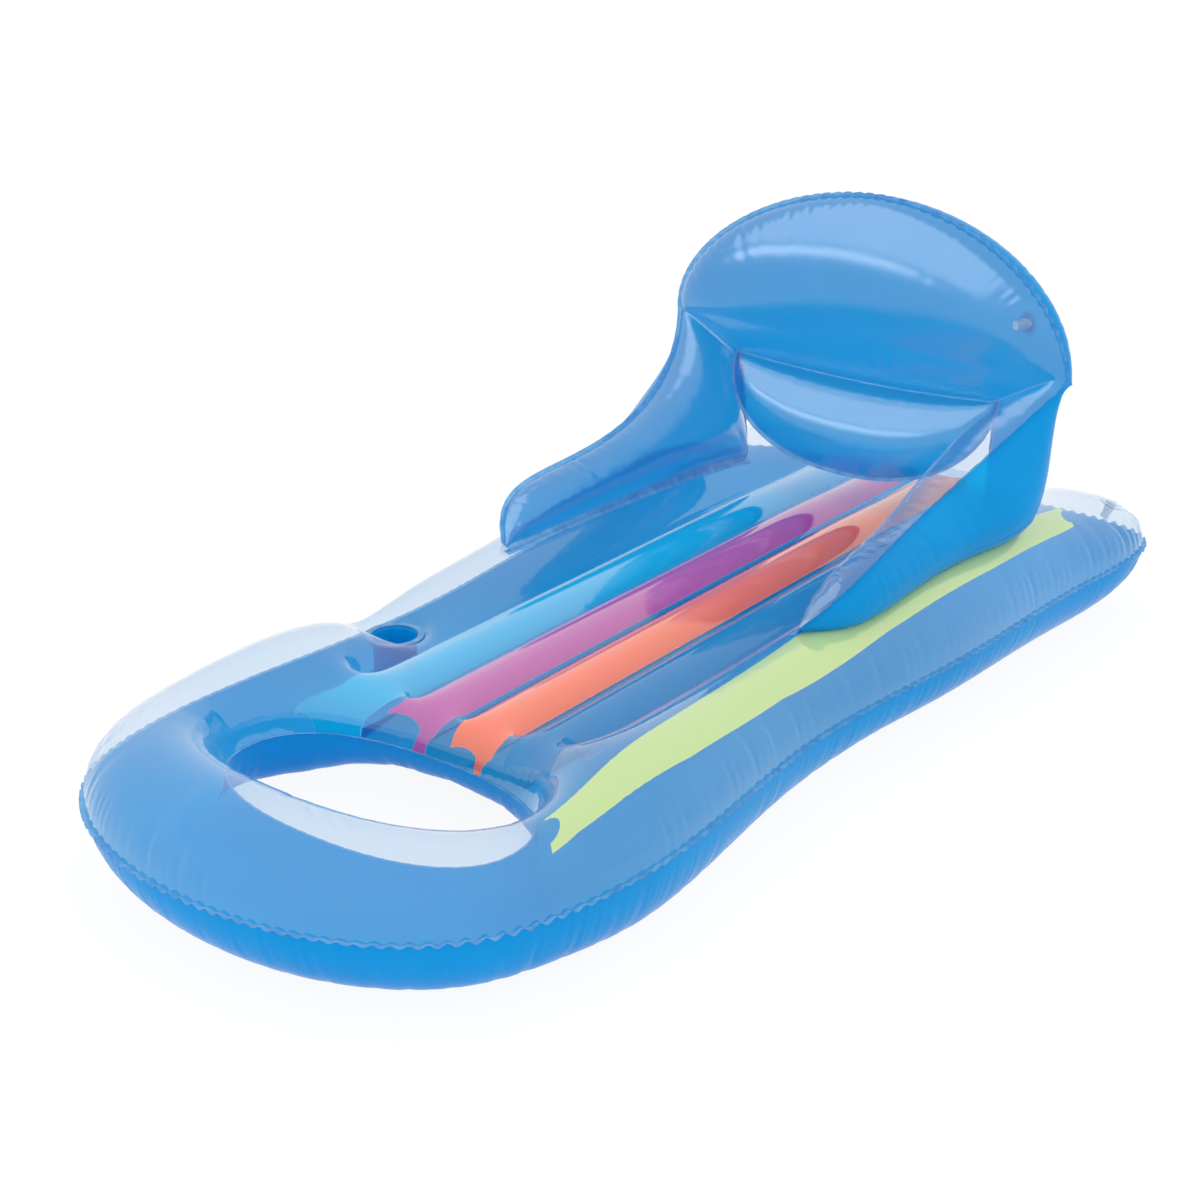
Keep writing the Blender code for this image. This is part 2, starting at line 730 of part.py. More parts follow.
cup_frame = Matrix.Translation((*cup_centre, seam_height))
sleeve_end = beam_half_height - touch_gap
sleeve_profile = [(cup_radius - film_thickness, -sleeve_end), (cup_seat_radius, -sleeve_end),
                  (cup_seat_radius, -sleeve_end + film_thickness), (cup_radius, -sleeve_end + film_thickness),
                  (cup_radius, sleeve_end - film_thickness), (cup_seat_radius, sleeve_end - film_thickness),
                  (cup_seat_radius, sleeve_end), (cup_radius - film_thickness, sleeve_end)]
make_object("cup_holder_sleeve", *turned(sleeve_profile), [blue_film], cup_frame)
rim_low = beam_half_height + touch_gap / 2 + film_thickness + touch_gap
rim_high = rim_low + cup_rim_thickness
rim_profile = [(cup_radius, rim_low), (cup_seat_radius, rim_low),
               (cup_seat_radius, rim_high), (cup_radius, rim_high)]
make_object("cup_holder_rim", *turned(rim_profile), [welded_film], cup_frame)


# Valves: a base disc on the film, a stem that slides in its guide, a flap on the stem's inner
# end and a plug on a strap

def valve(name, frame):
    guide = valve_stem_radius + valve_running_gap
    low = film_thickness + touch_gap
    high = low + valve_base_thickness
    base_profile = [(guide, -valve_guide_length), (guide + valve_guide_wall, -valve_guide_length),
                    (guide + valve_guide_wall, low), (valve_base_radius, low),
                    (valve_base_radius, high), (guide, high)]
    base = make_object(name, *turned(base_profile), [valve_plastic], frame)

    rim_bottom = high + valve_running_gap
    rim_top = rim_bottom + valve_rim_thickness
    rim_radius = valve_stem_radius + valve_rim_width
    stem_end = rim_top - valve_stem_length
    stem_profile = [(valve_bore_radius, stem_end), (valve_stem_radius, stem_end),
                    (valve_stem_radius, rim_bottom), (rim_radius, rim_bottom),
                    (rim_radius, rim_top), (valve_bore_radius, rim_top)]
    stem = make_object(name + "_stem", *turned(stem_profile), [valve_plastic], frame)
    tab_end = valve_hinge_reach - valve_running_gap
    tab = box((-valve_strap_width / 2, valve_stem_radius, rim_bottom),
              (valve_strap_width / 2, tab_end, rim_top))
    join_shape(stem, *tab, frame)
    attach(stem, base)

    hinge_height = rim_top + valve_running_gap
    hinge_frame = frame @ Matrix.Translation((0, valve_hinge_reach, hinge_height))
    to_axis = Matrix.Translation((0, -valve_hinge_reach, 0))
    cap_profile = [(0, -valve_plug_depth), (valve_plug_tip_radius, -valve_plug_depth),
                   (valve_plug_root_radius, 0), (rim_radius, 0), (rim_radius, valve_cap_thickness),
                   (0, valve_cap_thickness)]
    points, faces = turned(cap_profile)
    points = [to_axis @ Vector(p) for p in points]
    plug = make_object(name + "_plug", points, faces, [valve_plastic], hinge_frame)
    strap = box((-valve_strap_width / 2, -valve_hinge_reach + valve_stem_radius, 0),
                (valve_strap_width / 2, 0, valve_cap_thickness))
    join_shape(plug, *strap, hinge_frame)
    attach(plug, stem)

    flap_top = stem_end - valve_running_gap
    flap_frame = frame @ Matrix.Translation((0, valve_stem_radius, flap_top))
    flap_profile = [(0, -valve_flap_thickness), (valve_stem_radius, -valve_flap_thickness),
                    (valve_stem_radius, 0), (0, 0)]
    points, faces = turned(flap_profile)
    to_edge = Matrix.Translation((0, -valve_stem_radius, 0))
    points = [to_edge @ Vector(p) for p in points]
    flap = make_object(name + "_flap", points, faces, [valve_plastic], flap_frame)
    attach(flap, stem)
    for thing in (base, stem, plug, flap):
        thing.data.set_sharp_from_angle(angle=crease_angle)


valve("mattress_valve", valve_frame)

# Backrest: middle surface of the pocket, in three panels that share their creases

shoulder = np.array([backrest_width / 2, arm_curve_shares[0][1] * half_length,
                     arm_curve_shares[0][2] * lounger_height])
neck_end = np.array([neck_end_share[0] * backrest_width / 2, neck_end_share[1] * half_length,
                     neck_end_share[2] * lounger_height])
dome_height = lounger_height - weld_edge_width - shoulder[2]
tongue_depth = tongue_depth_share * lounger_height


def headrest_depth(x, z):
    """How far back the headrest panel lies."""
    above = z - shoulder[2]
    lean = headrest_lean_share * above if above > 0 else -neck_pull_share * above
    return shoulder[1] - lean + headrest_bow * (1 - (2 * x / backrest_width) ** 2)


def neck_point(x):
    z = neck_end[2] - neck_sag_share * lounger_height * (1 - (x / neck_end[0]) ** 2)
    return np.array([x, headrest_depth(x, z), z])


def crease(side, count):
    """From the neck's end up to the shoulder, on the headrest panel."""
    start, end = neck_point(neck_end[0])[[0, 2]], shoulder[[0, 2]]
    places = [start + (end - start) * t for t in np.linspace(0, 1, count + 1)]
    return [np.array([side * x, headrest_depth(x, z), z]) for x, z in places]


def headrest_panel():
    neck = [neck_point(x) for x in np.linspace(-neck_end[0], neck_end[0], neck_steps + 1)]
    dome = arc(backrest_width / 2, dome_height, headrest_power, math.pi) + (0, shoulder[2])
    dome = spread(dome, dome_steps + 1)
    right = [(p[0], p[2]) for p in crease(1, arm_rows)]
    left = [(p[0], p[2]) for p in crease(-1, arm_rows)][::-1]
    loop = [(p[0], p[2]) for p in neck][:-1] + right[:-1] + [tuple(p) for p in dome[:-1]] + left[:-1]
    loop = np.array(loop)
    layout = Layout()
    layout.line("rim", loop, closed=True)
    near, middle, far = (dome_height * share for share in panel_row_shares)
    layout.loose(inset(loop, near)[neck_steps + arm_rows:-arm_rows], near * panel_clear_share)
    layout.loose(inset(loop, middle), middle * panel_clear_share)
    layout.loose(inset(loop, far), middle)
    for z in np.linspace(neck_end[2], lounger_height, panel_rows + 1)[1:-1]:
        row = np.array([(u * backrest_width / 2, z) for u in np.linspace(-1, 1, panel_columns)])
        layout.loose(row[inside(row, loop)], middle)
    return layout, loop


def lifted(plan, depth):
    return np.array([(x, depth(x, z), z) for x, z in plan])


def tongue_depth_at(x, z):
    top = neck_point(x)
    return top[1] - tongue_lean_share * (top[2] - z)


def tongue_panel():
    neck = [neck_point(x)[[0, 2]] for x in np.linspace(-neck_end[0], neck_end[0], neck_steps + 1)]
    lower = [(x, neck_point(x)[2] - y) for x, y in arc(neck_end[0], tongue_depth, tongue_power, math.pi)]
    lower = spread(lower, neck_steps + 1)
    loop = np.array([tuple(p) for p in neck[::-1][:-1]] + [tuple(p) for p in lower[::-1][:-1]])
    layout = Layout()
    layout.line("rim", loop, closed=True)
    near, middle, far = (tongue_depth * share for share in tongue_row_shares)
    layout.loose(inset(loop, near)[neck_steps + 1:], near * panel_clear_share)
    layout.loose(inset(loop, middle), middle * panel_clear_share)
    layout.loose(inset(loop, far), middle)
    return layout, loop


def arm_foot(side):
    """Both edges of the welded band under an arm, its middle and the film's normals there."""
    group = top_layout.groups["band_right" if side > 0 else "band_left"]
    half = len(group) // 2
    edges = top_outer[group[:half]], top_outer[group[half:]]
    normals = vertex_normals(top_outer, top_film_faces)
    tilt = normals[group[:half]] + normals[group[half:]]
    tilt /= np.linalg.norm(tilt, axis=1)[:, None]
    return edges, (edges[0] + edges[1]) / 2, tilt


def arm_panel(side):
    """Grid from the upper weld of an arm down to its free edge and its foot."""
    centre, tilt = arm_foot(side)[1:]
    # Between two steps the strip's faces stand a little above its middle line
    seat = touch_gap + arm_strip_thickness + 2 * touch_gap + film_thickness
    landing = centre + tilt * seat
    reach = np.array([side * backrest_width / 2, half_length, lounger_height])
    controls = [reach * shares for shares in arm_curve_shares]
    controls[0] = crease(side, arm_rows)[-1]
    neck = crease(side, arm_rows)[0]
    arm_columns = arm_heel_columns + weld_band_steps
    steps = [min(arm_heel_columns + k, arm_columns - 1) for k in range(weld_band_steps + 1)]
    slope = np.array([bezier(controls + [landing[-1]], k / arm_columns) for k in steps]) - landing
    foot = landing + slope / np.linalg.norm(slope, axis=1)[:, None] * weld_edge_width
    controls.append(foot[-1])
    shares = [(1 - math.cos(math.pi * j / arm_rows)) / 2 for j in range(arm_rows + 1)]
    columns = [crease(side, arm_rows)[::-1]]
    for k in range(1, arm_columns + 1):
        above = bezier(controls, k / arm_columns)
        if k < arm_heel_columns:
            below = neck + (foot[0] - neck) * k / arm_heel_columns
        else:
            below = foot[k - arm_heel_columns]
        columns.append([above + (below - above) * s for s in shares])
    faces = []
    points = [p for column in columns[:-1] for p in column] + [columns[-1][-1]]
    tip = len(points) - 1
    width = arm_rows + 1
    for k in range(arm_columns):
        for j in range(arm_rows):
            a, b = k * width + j, k * width + j + 1
            if k == arm_columns - 1:
                faces.append((a, b, tip))
            else:
                c, d = b + width, a + width
                faces += [(a, b, c), (a, c, d)]
    faces = np.array(faces)
    if side < 0:
        faces = faces[:, ::-1]
    return np.array(points), faces, list(zip(foot, landing))


def backrest_surface(valve_seat=None):
    """All panels as one mesh whose normals point to the sitter."""
    layout, loop = headrest_panel()
    if valve_seat is not None:
        rings = [circle_points(valve_seat, r)[:, [0, 2]] for r in (valve_hole_radius, valve_seat_radius)]
        middle = rings[0].mean(0)
        near = np.linalg.norm(np.array(layout.points) - middle, axis=1) < valve_seat_radius + valve_rim_width
        layout.points = [p for k, p in enumerate(layout.points) if k < len(loop) or not near[k]]
        for ring in rings:
            layout.line("valve", ring, closed=True)
    plan, head_faces = layout.triangles(loop, [])
    head = lifted(plan, headrest_depth)
    tongue_layout, tongue_loop = tongue_panel()
    tongue_plan, tongue_faces = tongue_layout.triangles(tongue_loop, [])
    tongue = lifted(tongue_plan, tongue_depth_at)
    parts = [(head, head_faces), (tongue, tongue_faces)]
    ends = []
    for side in (1, -1):
        points, faces, arm_ends = arm_panel(side)
        parts.append((points, faces))
        ends += arm_ends
    points, faces, index = [], [], {}
    for part_points, part_faces in parts:
        numbers = []
        for p in part_points:
            key = tuple(np.round(p, 6))
            if key not in index:
                index[key] = len(points)
                points.append(p)
            numbers.append(index[key])
        faces += [[numbers[n] for n in face] for face in part_faces]
    points, faces = np.array(points), np.array(faces)
    valve_numbers = []
    if valve_seat is not None:
        valve_numbers = [index[tuple(np.round(head[n], 6))] for n in layout.groups["valve"]]
    neck_numbers = [index[tuple(np.round(neck_point(x), 6))]
                    for x in np.linspace(-neck_end[0], neck_end[0], neck_steps + 1)]
    crease_numbers = [index[tuple(np.round(p, 6))] for side in (1, -1) for p in crease(side, arm_rows)[1:-1]]
    lip_ends = {index[tuple(np.round(p, 6))]: end for p, end in ends}
    return points, faces, neck_numbers, crease_numbers, lip_ends, valve_numbers


def blow_up_backrest(points, faces, neck_numbers, crease_numbers):
    pinned = {n: crease_half_thickness for n in crease_numbers}
    pinned.update({n: 0.0 for n in neck_numbers})
    for loop in boundary_loops(faces):
        pinned.update({n: 0.0 for n in loop})
    lift = membrane(points, faces, pinned) * backrest_fullness_share
    across = vertex_normals(points, faces)
    neighbours = np.zeros((len(points), len(points)))
    for k in range(3):
        neighbours[faces[:, k], faces[:, (k + 1) % 3]] = 1
        neighbours[faces[:, (k + 1) % 3], faces[:, k]] = 1
    for _ in range(3):
        across = across + neighbours @ across / neighbours.sum(1)[:, None]
        across /= np.linalg.norm(across, axis=1)[:, None]
    return lift, across


def rest_on_float(inner, outer):
    """Keeps the arms clear of the float's top film, where they lie on it."""
    for k in range(len(back_points)):
        floor = surface_height(top_outer, top_film_faces, outer[k, 0], outer[k, 1])
        if floor is not None and k not in seated_points:
            rise = floor + arm_rest_clearance - min(outer[k, 2], inner[k, 2])
            if rise > 0:
                outer[k, 2] += rise
                inner[k, 2] += rise
    return inner, outer


def backrest_valve_frame():
    """Where the valve sits on the back film and which way it faces, from a backrest without it."""
    points, faces, neck_numbers, crease_numbers = backrest_surface()[:4]
    lift, across = blow_up_backrest(points, faces, neck_numbers, crease_numbers)
    back = (points - across * (touch_gap / 2 + lift)[:, None])[:, [0, 2, 1]]
    x, z = head_valve_side_share * backrest_width / 2, head_valve_height_share * lounger_height
    step = valve_base_radius
    rise_x = surface_height(back, faces, x + step, z) - surface_height(back, faces, x - step, z)
    rise_z = surface_height(back, faces, x, z + step) - surface_height(back, faces, x, z - step)
    return local_frame((x, surface_height(back, faces, x, z), z), (-rise_x, 2 * step, -rise_z))


head_valve_frame = backrest_valve_frame()
(back_points, back_faces, neck_numbers, crease_numbers, lip_ends,
 valve_numbers) = backrest_surface(head_valve_frame)
back_lift, back_across = blow_up_backrest(back_points, back_faces, neck_numbers, crease_numbers)
back_loops = boundary_loops(back_faces)
slit_tops = [neck_numbers[0], neck_numbers[-1]]
narrow_lips = {n: weld_edge_width / 6 for n in slit_tops}
seated_points = set(lip_ends)
film("backrest_front_film", back_points, back_faces, back_across, back_lift, 1, back_loops, [clear_film],
     lip_ends=lip_ends, lip_width=narrow_lips, settle=rest_on_float)
opening_ring = set(valve_numbers[:turned_segments])
pierced_faces = np.array([face for face in back_faces if not set(face) <= opening_ring])
back_seat = np.vstack([circle_points(head_valve_frame, r) for r in (valve_hole_radius, valve_seat_radius)])
film("backrest_back_film", back_points, pierced_faces, back_across, back_lift, -1, back_loops, [blue_film],
     lip_ends=lip_ends, lip_width=narrow_lips, settle=rest_on_float,
     places=dict(zip(valve_numbers, back_seat)))
valve("backrest_valve", head_valve_frame)

# Weld strips: each fixes the foot of an arm to the top film, whose faces it follows

for side, side_name in ((-1, "left"), (1, "right")):
    edges, _, tilt = arm_foot(side)
    lower = np.vstack(edges) + np.vstack([tilt, tilt]) * touch_gap
    upper = lower + np.vstack([tilt, tilt]) * arm_strip_thickness
    places = {n: k for k, n in enumerate(top_layout.groups["band_" + side_name])}
    strip_faces = [[places[n] for n in face] for face in top_faces.tolist() if set(face) <= set(places)]
    shell("arm_weld_strip_" + side_name, lower, upper, np.array(strip_faces), [welded_film])
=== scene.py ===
"""Inflatable pool lounger: blown-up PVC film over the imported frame.

The float and the backrest are pockets of two welded films. Each pocket's middle surface is laid
out, blown up by one rule, and then creased along its welds. Metres, +Z up, +Y to the head end.
"""
import json
import math

import bpy
import numpy as np
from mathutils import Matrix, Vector
from mathutils.geometry import delaunay_2d_cdt


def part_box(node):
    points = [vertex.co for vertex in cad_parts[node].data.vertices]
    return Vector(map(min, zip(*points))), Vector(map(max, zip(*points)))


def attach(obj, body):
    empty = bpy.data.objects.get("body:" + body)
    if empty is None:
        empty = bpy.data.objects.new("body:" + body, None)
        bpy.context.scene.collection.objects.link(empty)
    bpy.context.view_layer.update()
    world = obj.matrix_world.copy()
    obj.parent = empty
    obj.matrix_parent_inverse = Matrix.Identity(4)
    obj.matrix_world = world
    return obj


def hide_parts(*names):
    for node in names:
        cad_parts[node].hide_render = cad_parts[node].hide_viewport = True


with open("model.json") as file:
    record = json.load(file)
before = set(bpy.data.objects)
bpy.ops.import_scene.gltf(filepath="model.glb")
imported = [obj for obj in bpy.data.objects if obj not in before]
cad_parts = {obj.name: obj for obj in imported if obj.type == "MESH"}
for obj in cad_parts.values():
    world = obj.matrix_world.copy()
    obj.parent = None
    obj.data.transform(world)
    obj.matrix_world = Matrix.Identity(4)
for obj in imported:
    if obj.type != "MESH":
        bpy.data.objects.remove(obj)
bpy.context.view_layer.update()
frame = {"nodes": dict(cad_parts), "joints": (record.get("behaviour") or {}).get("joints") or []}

# Bottom film of the float
# Blue translucent PVC film, cut to the outline with a foot hole, welded to the top film along a
# narrow edge round the outside and round the hole. It stands on the fat tubes.

MM = 0.001
weld_edge = 8 * MM
film_gap = 0.3 * MM
pvc_ior = 1.53
channel_count = 4
channel_width = 79 * MM
beam_half_height = 27 * MM
foot_tube_width = 158 * MM
foot_hole_size = (382 * MM, 203 * MM)
foot_hole_power = 2.3
front_passage = 44 * MM
rear_passage = 52 * MM
outline_shares = [(0, -1), (0.83, -0.80), (0.863, -0.756), (0.93, -0.533), (0.872, -0.133),
                  (0.948, 0.267), (1.0, 0.693), (0.953, 0.957), (0.572, 1.0)]
far_foot_bulge = (9 * MM, 7 * MM)

# The mesh: points along the welds, points of the film, and finer rows beside the welds, of which
# those from the coarse one on have half the points
weld_pitch = 3.6 * MM
film_pitch = 9 * MM
beam_pitch = 7.2 * MM
weld_rows = [1.2 * MM, 3.5 * MM, 7 * MM, 11.5 * MM, 17 * MM, 24 * MM, 32 * MM]
coarse_row_from = 15 * MM
row_clearance = 0.93
net_clearance = 0.62
beam_side_rows = (2.5 * MM, 7 * MM)
cup_ring_points = 48

bottom_low, bottom_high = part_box("mattress_bottom_film")
half_width = (bottom_high[0] - bottom_low[0]) / 2 - weld_edge
half_length = (bottom_high[1] - bottom_low[1]) / 2 - weld_edge
seam_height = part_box("mattress_top_film")[0][2] - film_gap / 2
up = np.array([0.0, 0.0, 1.0])


def linear(hex_colour):
    """Linear colour from an sRGB hex string."""
    channels = [int(hex_colour[i:i + 2], 16) / 255 for i in (0, 2, 4)]
    return [c / 12.92 if c <= 0.04045 else ((c + 0.055) / 1.055) ** 2.4 for c in channels] + [1.0]


def new_material(name):
    """An empty material: (material, its node tree)."""
    material = bpy.data.materials.new(name)
    material.use_nodes = True
    material.node_tree.nodes.clear()
    return material, material.node_tree


def add_node(tree, kind, inputs=None, **settings):
    """Adds a shader node with its settings. An input is a value, another node's output, or
    another node, which stands for its first output."""
    node = tree.nodes.new("ShaderNode" + kind)
    for name, value in settings.items():
        setattr(node, name, value)
    for name, value in (inputs or {}).items():
        if isinstance(value, bpy.types.Node):
            value = value.outputs[0]
        if isinstance(value, bpy.types.NodeSocket):
            tree.links.new(value, node.inputs[name])
        else:
            node.inputs[name].default_value = value
    return node


def dented(tree, places, size, strength, depth):
    """The skin's direction on dents of this size, which film gets where it is drawn or pressed."""
    drag = add_node(tree, "TexNoise", {"Vector": places, "Scale": 1 / size, "Detail": 2.0})
    return add_node(tree, "Bump", {"Height": drag, "Strength": strength, "Distance": depth})


def lay_film(tree, skin, passing, share):
    """The film's own skin, by this share, over the light that passes through it."""
    through = add_node(tree, "BsdfTransparent", {"Color": linear(passing)})
    film = add_node(tree, "MixShader", {0: share, 1: through, 2: skin})
    add_node(tree, "OutputMaterial", {"Surface": film})


def soft_pvc(name, patch, colours, roughness, passing, share, dents=None, detail=2.0, finish=None):
    """Soft PVC in two shades, in patches of this size. Two roughnesses follow the shades. The
    dents are (size, strength, depth). The share of its own skin is a number, or a function that
    makes the nodes for it."""
    material, tree = new_material(name)
    places = add_node(tree, "TexCoord").outputs["Object"]
    cloud = add_node(tree, "TexNoise", {"Vector": places, "Scale": 1 / patch, "Detail": detail})
    shade = add_node(tree, "MixRGB", {"Fac": cloud, "Color1": linear(colours[0]),
                                      "Color2": linear(colours[1])})
    skin = {"Base Color": shade, "IOR": pvc_ior, "Roughness": roughness}
    if isinstance(roughness, tuple):
        skin["Roughness"] = add_node(tree, "MapRange", {"Value": cloud, "To Min": roughness[0],
                                                        "To Max": roughness[1]})
    if dents:
        skin["Normal"] = dented(tree, places, *dents)
    skin.update(finish or {})
    share = share(tree) if callable(share) else share
    lay_film(tree, add_node(tree, "BsdfPrincipled", skin), passing, share)
    return material


def make_piece(name, points, faces, material, nodes=()):
    """A smooth mesh that rides on the float and stands for CAD nodes."""
    mesh = bpy.data.meshes.new(name)
    mesh.from_pydata(np.asarray(points).tolist(), [], np.asarray(faces).tolist())
    mesh.shade_smooth()
    mesh.materials.append(material)
    piece = bpy.data.objects.new(name, mesh)
    bpy.context.scene.collection.objects.link(piece)
    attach(piece, "lounger")
    if nodes:
        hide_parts(*nodes)
    return piece


def unit(rows):
    """Each row at length 1."""
    return rows / np.maximum(np.linalg.norm(rows, axis=1), 1e-12)[:, None]


def ramp(values, start, end):
    """0 up to the start, 1 from the end on, and even between them."""
    return np.clip((values - start) / (end - start), 0, 1)


def ease(t):
    """A share from 0 to 1 that starts and stops softly."""
    return t * t * (3 - 2 * t)


def raised(plan, height=0.0):
    """Plan points at this height."""
    return np.column_stack([plan, np.full(len(plan), height)])


def ring(centre, radius, segments):
    """Plan points of a circle, whose radius may change from point to point."""
    angles = np.linspace(0, 2 * math.pi, segments, endpoint=False)
    return centre + np.reshape(radius, (-1, 1)) * np.stack([np.cos(angles), np.sin(angles)], axis=1)


def spread(path, count, closed=False):
    """The same path with evenly spaced points."""
    path = np.asarray(path, float)
    if closed:
        path = np.vstack([path, path[:1]])
    along = np.concatenate([[0], np.cumsum(np.linalg.norm(np.diff(path, axis=0), axis=1))])
    stops = np.linspace(0, along[-1], count + 1 if closed else count)
    if closed:
        stops = stops[:-1]
    return np.stack([np.interp(stops, along, path[:, k]) for k in range(path.shape[1])], axis=1)


def path_length(path, closed=False):
    """Length of a path."""
    if closed:
        path = np.vstack([path, path[:1]])
    return np.linalg.norm(np.diff(path, axis=0), axis=1).sum()


def closed_spline(knots, samples=120):
    """A smooth closed curve through the knots."""
    knots = np.asarray(knots, float)
    ahead = np.roll(knots, -1, axis=0)
    step = np.linalg.norm(ahead - knots, axis=1)
    before = np.roll(step, 1)
    slope = (ahead - knots) / step[:, None]
    size = len(knots)
    rows = np.arange(size)
    system = np.zeros((size, size))
    system[rows, rows - 1] = step
    system[rows, rows] = 2 * (step + before)
    system[rows, (rows + 1) % size] = before
    tangent = np.linalg.solve(system, 3 * (step[:, None] * np.roll(slope, 1, axis=0)
                                           + before[:, None] * slope))
    t = np.linspace(0, 1, samples, endpoint=False)[None, :, None]
    start, end = knots[:, None], ahead[:, None]
    leave = (tangent * step[:, None])[:, None]
    arrive = (np.roll(tangent, -1, axis=0) * step[:, None])[:, None]
    curve = ((2 * t ** 3 - 3 * t ** 2 + 1) * start + (3 * t ** 2 - 2 * t ** 3) * end
             + (t ** 3 - 2 * t ** 2 + t) * leave + (t ** 3 - t ** 2) * arrive)
    return curve.reshape(-1, 2)


def arc(half_x, half_y, power, turn, samples=400):
    """Points of a superellipse from +X through +Y, as far round as the turn."""
    angles = np.linspace(0, turn, samples)
    c, s = np.cos(angles), np.sin(angles)
    return np.stack([half_x * np.sign(c) * np.abs(c) ** (2 / power),
                     half_y * np.sign(s) * np.abs(s) ** (2 / power)], axis=1)


def inside(points, loop):
    """Which plan points lie inside a closed loop."""
    a, b = loop, np.roll(loop, -1, axis=0)
    x, y = points[:, 0][:, None], points[:, 1][:, None]
    rise = b[:, 1] - a[:, 1]
    rise = np.where(np.abs(rise) < 1e-12, 1e-12, rise)
    crosses = (a[:, 1] > y) != (b[:, 1] > y)
    at = a[:, 0] + (y - a[:, 1]) / rise * (b[:, 0] - a[:, 0])
    return (crosses & (x < at)).sum(1) % 2 == 1


def nearest(points, targets, chunk=400):
    """(distance, number) of the nearest target for each point."""
    distance, number = [], []
    for first in range(0, len(points), chunk):
        gap = ((points[first:first + chunk, None] - targets[None]) ** 2).sum(2)
        number.append(gap.argmin(1))
        distance.append(np.sqrt(gap.min(1)))
    return np.concatenate(distance), np.concatenate(number)


def offset(loop, distance):
    """A closed loop moved to its left."""
    run = unit(np.roll(loop, -1, axis=0) - np.roll(loop, 1, axis=0))
    return loop + distance * np.stack([-run[:, 1], run[:, 0]], axis=1)


def weld_points(path, closed=False):
    """The path with points a weld pitch apart. A closed one gets an even number of them."""
    if closed:
        return spread(path, 2 * round(path_length(path, True) / weld_pitch / 2), closed=True)
    return spread(path, round(path_length(path) / weld_pitch) + 1)


class Layout:
    """Plan points of a film, with the lines that its mesh keeps."""

    def __init__(self):
        self.points = np.zeros((0, 2))
        self.lines = []
        self.groups = {}

    def add(self, group, path, keep_line=False, closed=False):
        """Adds a path and remembers its points' numbers under the group's name."""
        numbers = np.arange(len(self.points), len(self.points) + len(path))
        self.points = np.vstack([self.points, path])
        if keep_line:
            self.lines += list(zip(numbers[:-1].tolist(), numbers[1:].tolist()))
        if closed:
            self.lines.append((int(numbers[-1]), int(numbers[0])))
        self.groups[group] = self.groups.get(group, []) + numbers.tolist()

    def fill(self, candidates, clear):
        """Adds the candidates that stand clear of what is there."""
        far = nearest(candidates, self.points)[0] > clear
        self.points = np.vstack([self.points, candidates[far]])

    def weld(self, group, loop, left_inside):
        """A weld line with finer rows beside it."""
        self.add(group, loop, keep_line=True, closed=True)
        for distance in weld_rows:
            row = loop[::2] if distance > coarse_row_from else loop
            moved = offset(row, distance if left_inside else -distance)
            clear = nearest(moved, loop)[0] > distance * row_clearance
            self.add("rows", moved[clear])

    def triangles(self, outer, holes=()):
        """Faces of the film inside its outline and outside its holes."""
        result = delaunay_2d_cdt([Vector(p) for p in self.points.tolist()], self.lines, [], 0, 1e-8)
        faces = np.array(result[2])
        centres = self.points[faces].mean(1)
        side_a, side_b = (self.points[faces[:, k]] - self.points[faces[:, 0]] for k in (1, 2))
        area = np.abs(side_a[:, 0] * side_b[:, 1] - side_a[:, 1] * side_b[:, 0])
        keep = inside(centres, outer) & (area > area.mean() * 1e-5)
        for hole in holes:
            keep &= ~inside(centres, hole)
        return faces[keep]


def hexagons(low, high, pitch):
    """Points of a hexagonal net over a rectangle."""
    net = []
    for k, y in enumerate(np.arange(low[1], high[1], pitch * math.sqrt(3) / 2)):
        x = np.arange(low[0] + (k % 2) * pitch / 2, high[0], pitch)
        net.append(np.column_stack([x, np.full(len(x), y)]))
    return np.vstack(net)


def blow_up(points, faces, pinned, pressure=1.0, rounds=1500):
    """Half thickness of a blown-up pocket. Its square curves alike everywhere, as the pressure
    is the same everywhere, and it is held where the pocket is welded."""
    count = len(points)
    rows, columns, weights = [], [], []
    load = np.zeros(count)
    pressure = np.broadcast_to(pressure, count)
    for k in range(3):
        a, b, c = faces[:, k], faces[:, (k + 1) % 3], faces[:, (k + 2) % 3]
        u, v = points[a] - points[c], points[b] - points[c]
        area = np.linalg.norm(np.cross(u, v), axis=1)
        rows += [a, b]
        columns += [b, a]
        weights += [(u * v).sum(1) / area / 2] * 2
        load += np.bincount(a, area / 3 * pressure[a], count)
    rows, columns, weights = (np.concatenate(part) for part in (rows, columns, weights))
    diagonal = np.bincount(rows, weights, count)
    value = np.zeros(count)
    free = np.ones(count, bool)
    for number, height in pinned.items():
        value[number] = height ** 2
        free[number] = False

    def spring(x):
        """How hard each point is pulled back towards its neighbours."""
        return diagonal * x - np.bincount(rows, weights * x[columns], count)

    left = (load - spring(value)) * free
    scaled = left / diagonal * free
    course = scaled.copy()
    size = left @ scaled
    first = size
    for _ in range(rounds):
        pull = spring(course) * free
        step = size / (course @ pull)
        value += step * course
        left -= step * pull
        scaled = left / diagonal * free
        size, before = left @ scaled, size
        if size < first * 1e-13:
            break
        course = scaled + size / before * course
    return np.sqrt(np.maximum(value, 0))


def normals_of(points, faces):
    """The direction square to a film, at each of its points."""
    a, b, c = (points[faces[:, k]] for k in range(3))
    area = np.cross(b - a, c - a)
    return unit(np.stack([sum(np.bincount(faces[:, k], area[:, axis], len(points)) for k in range(3))
                          for axis in range(3)], axis=1))


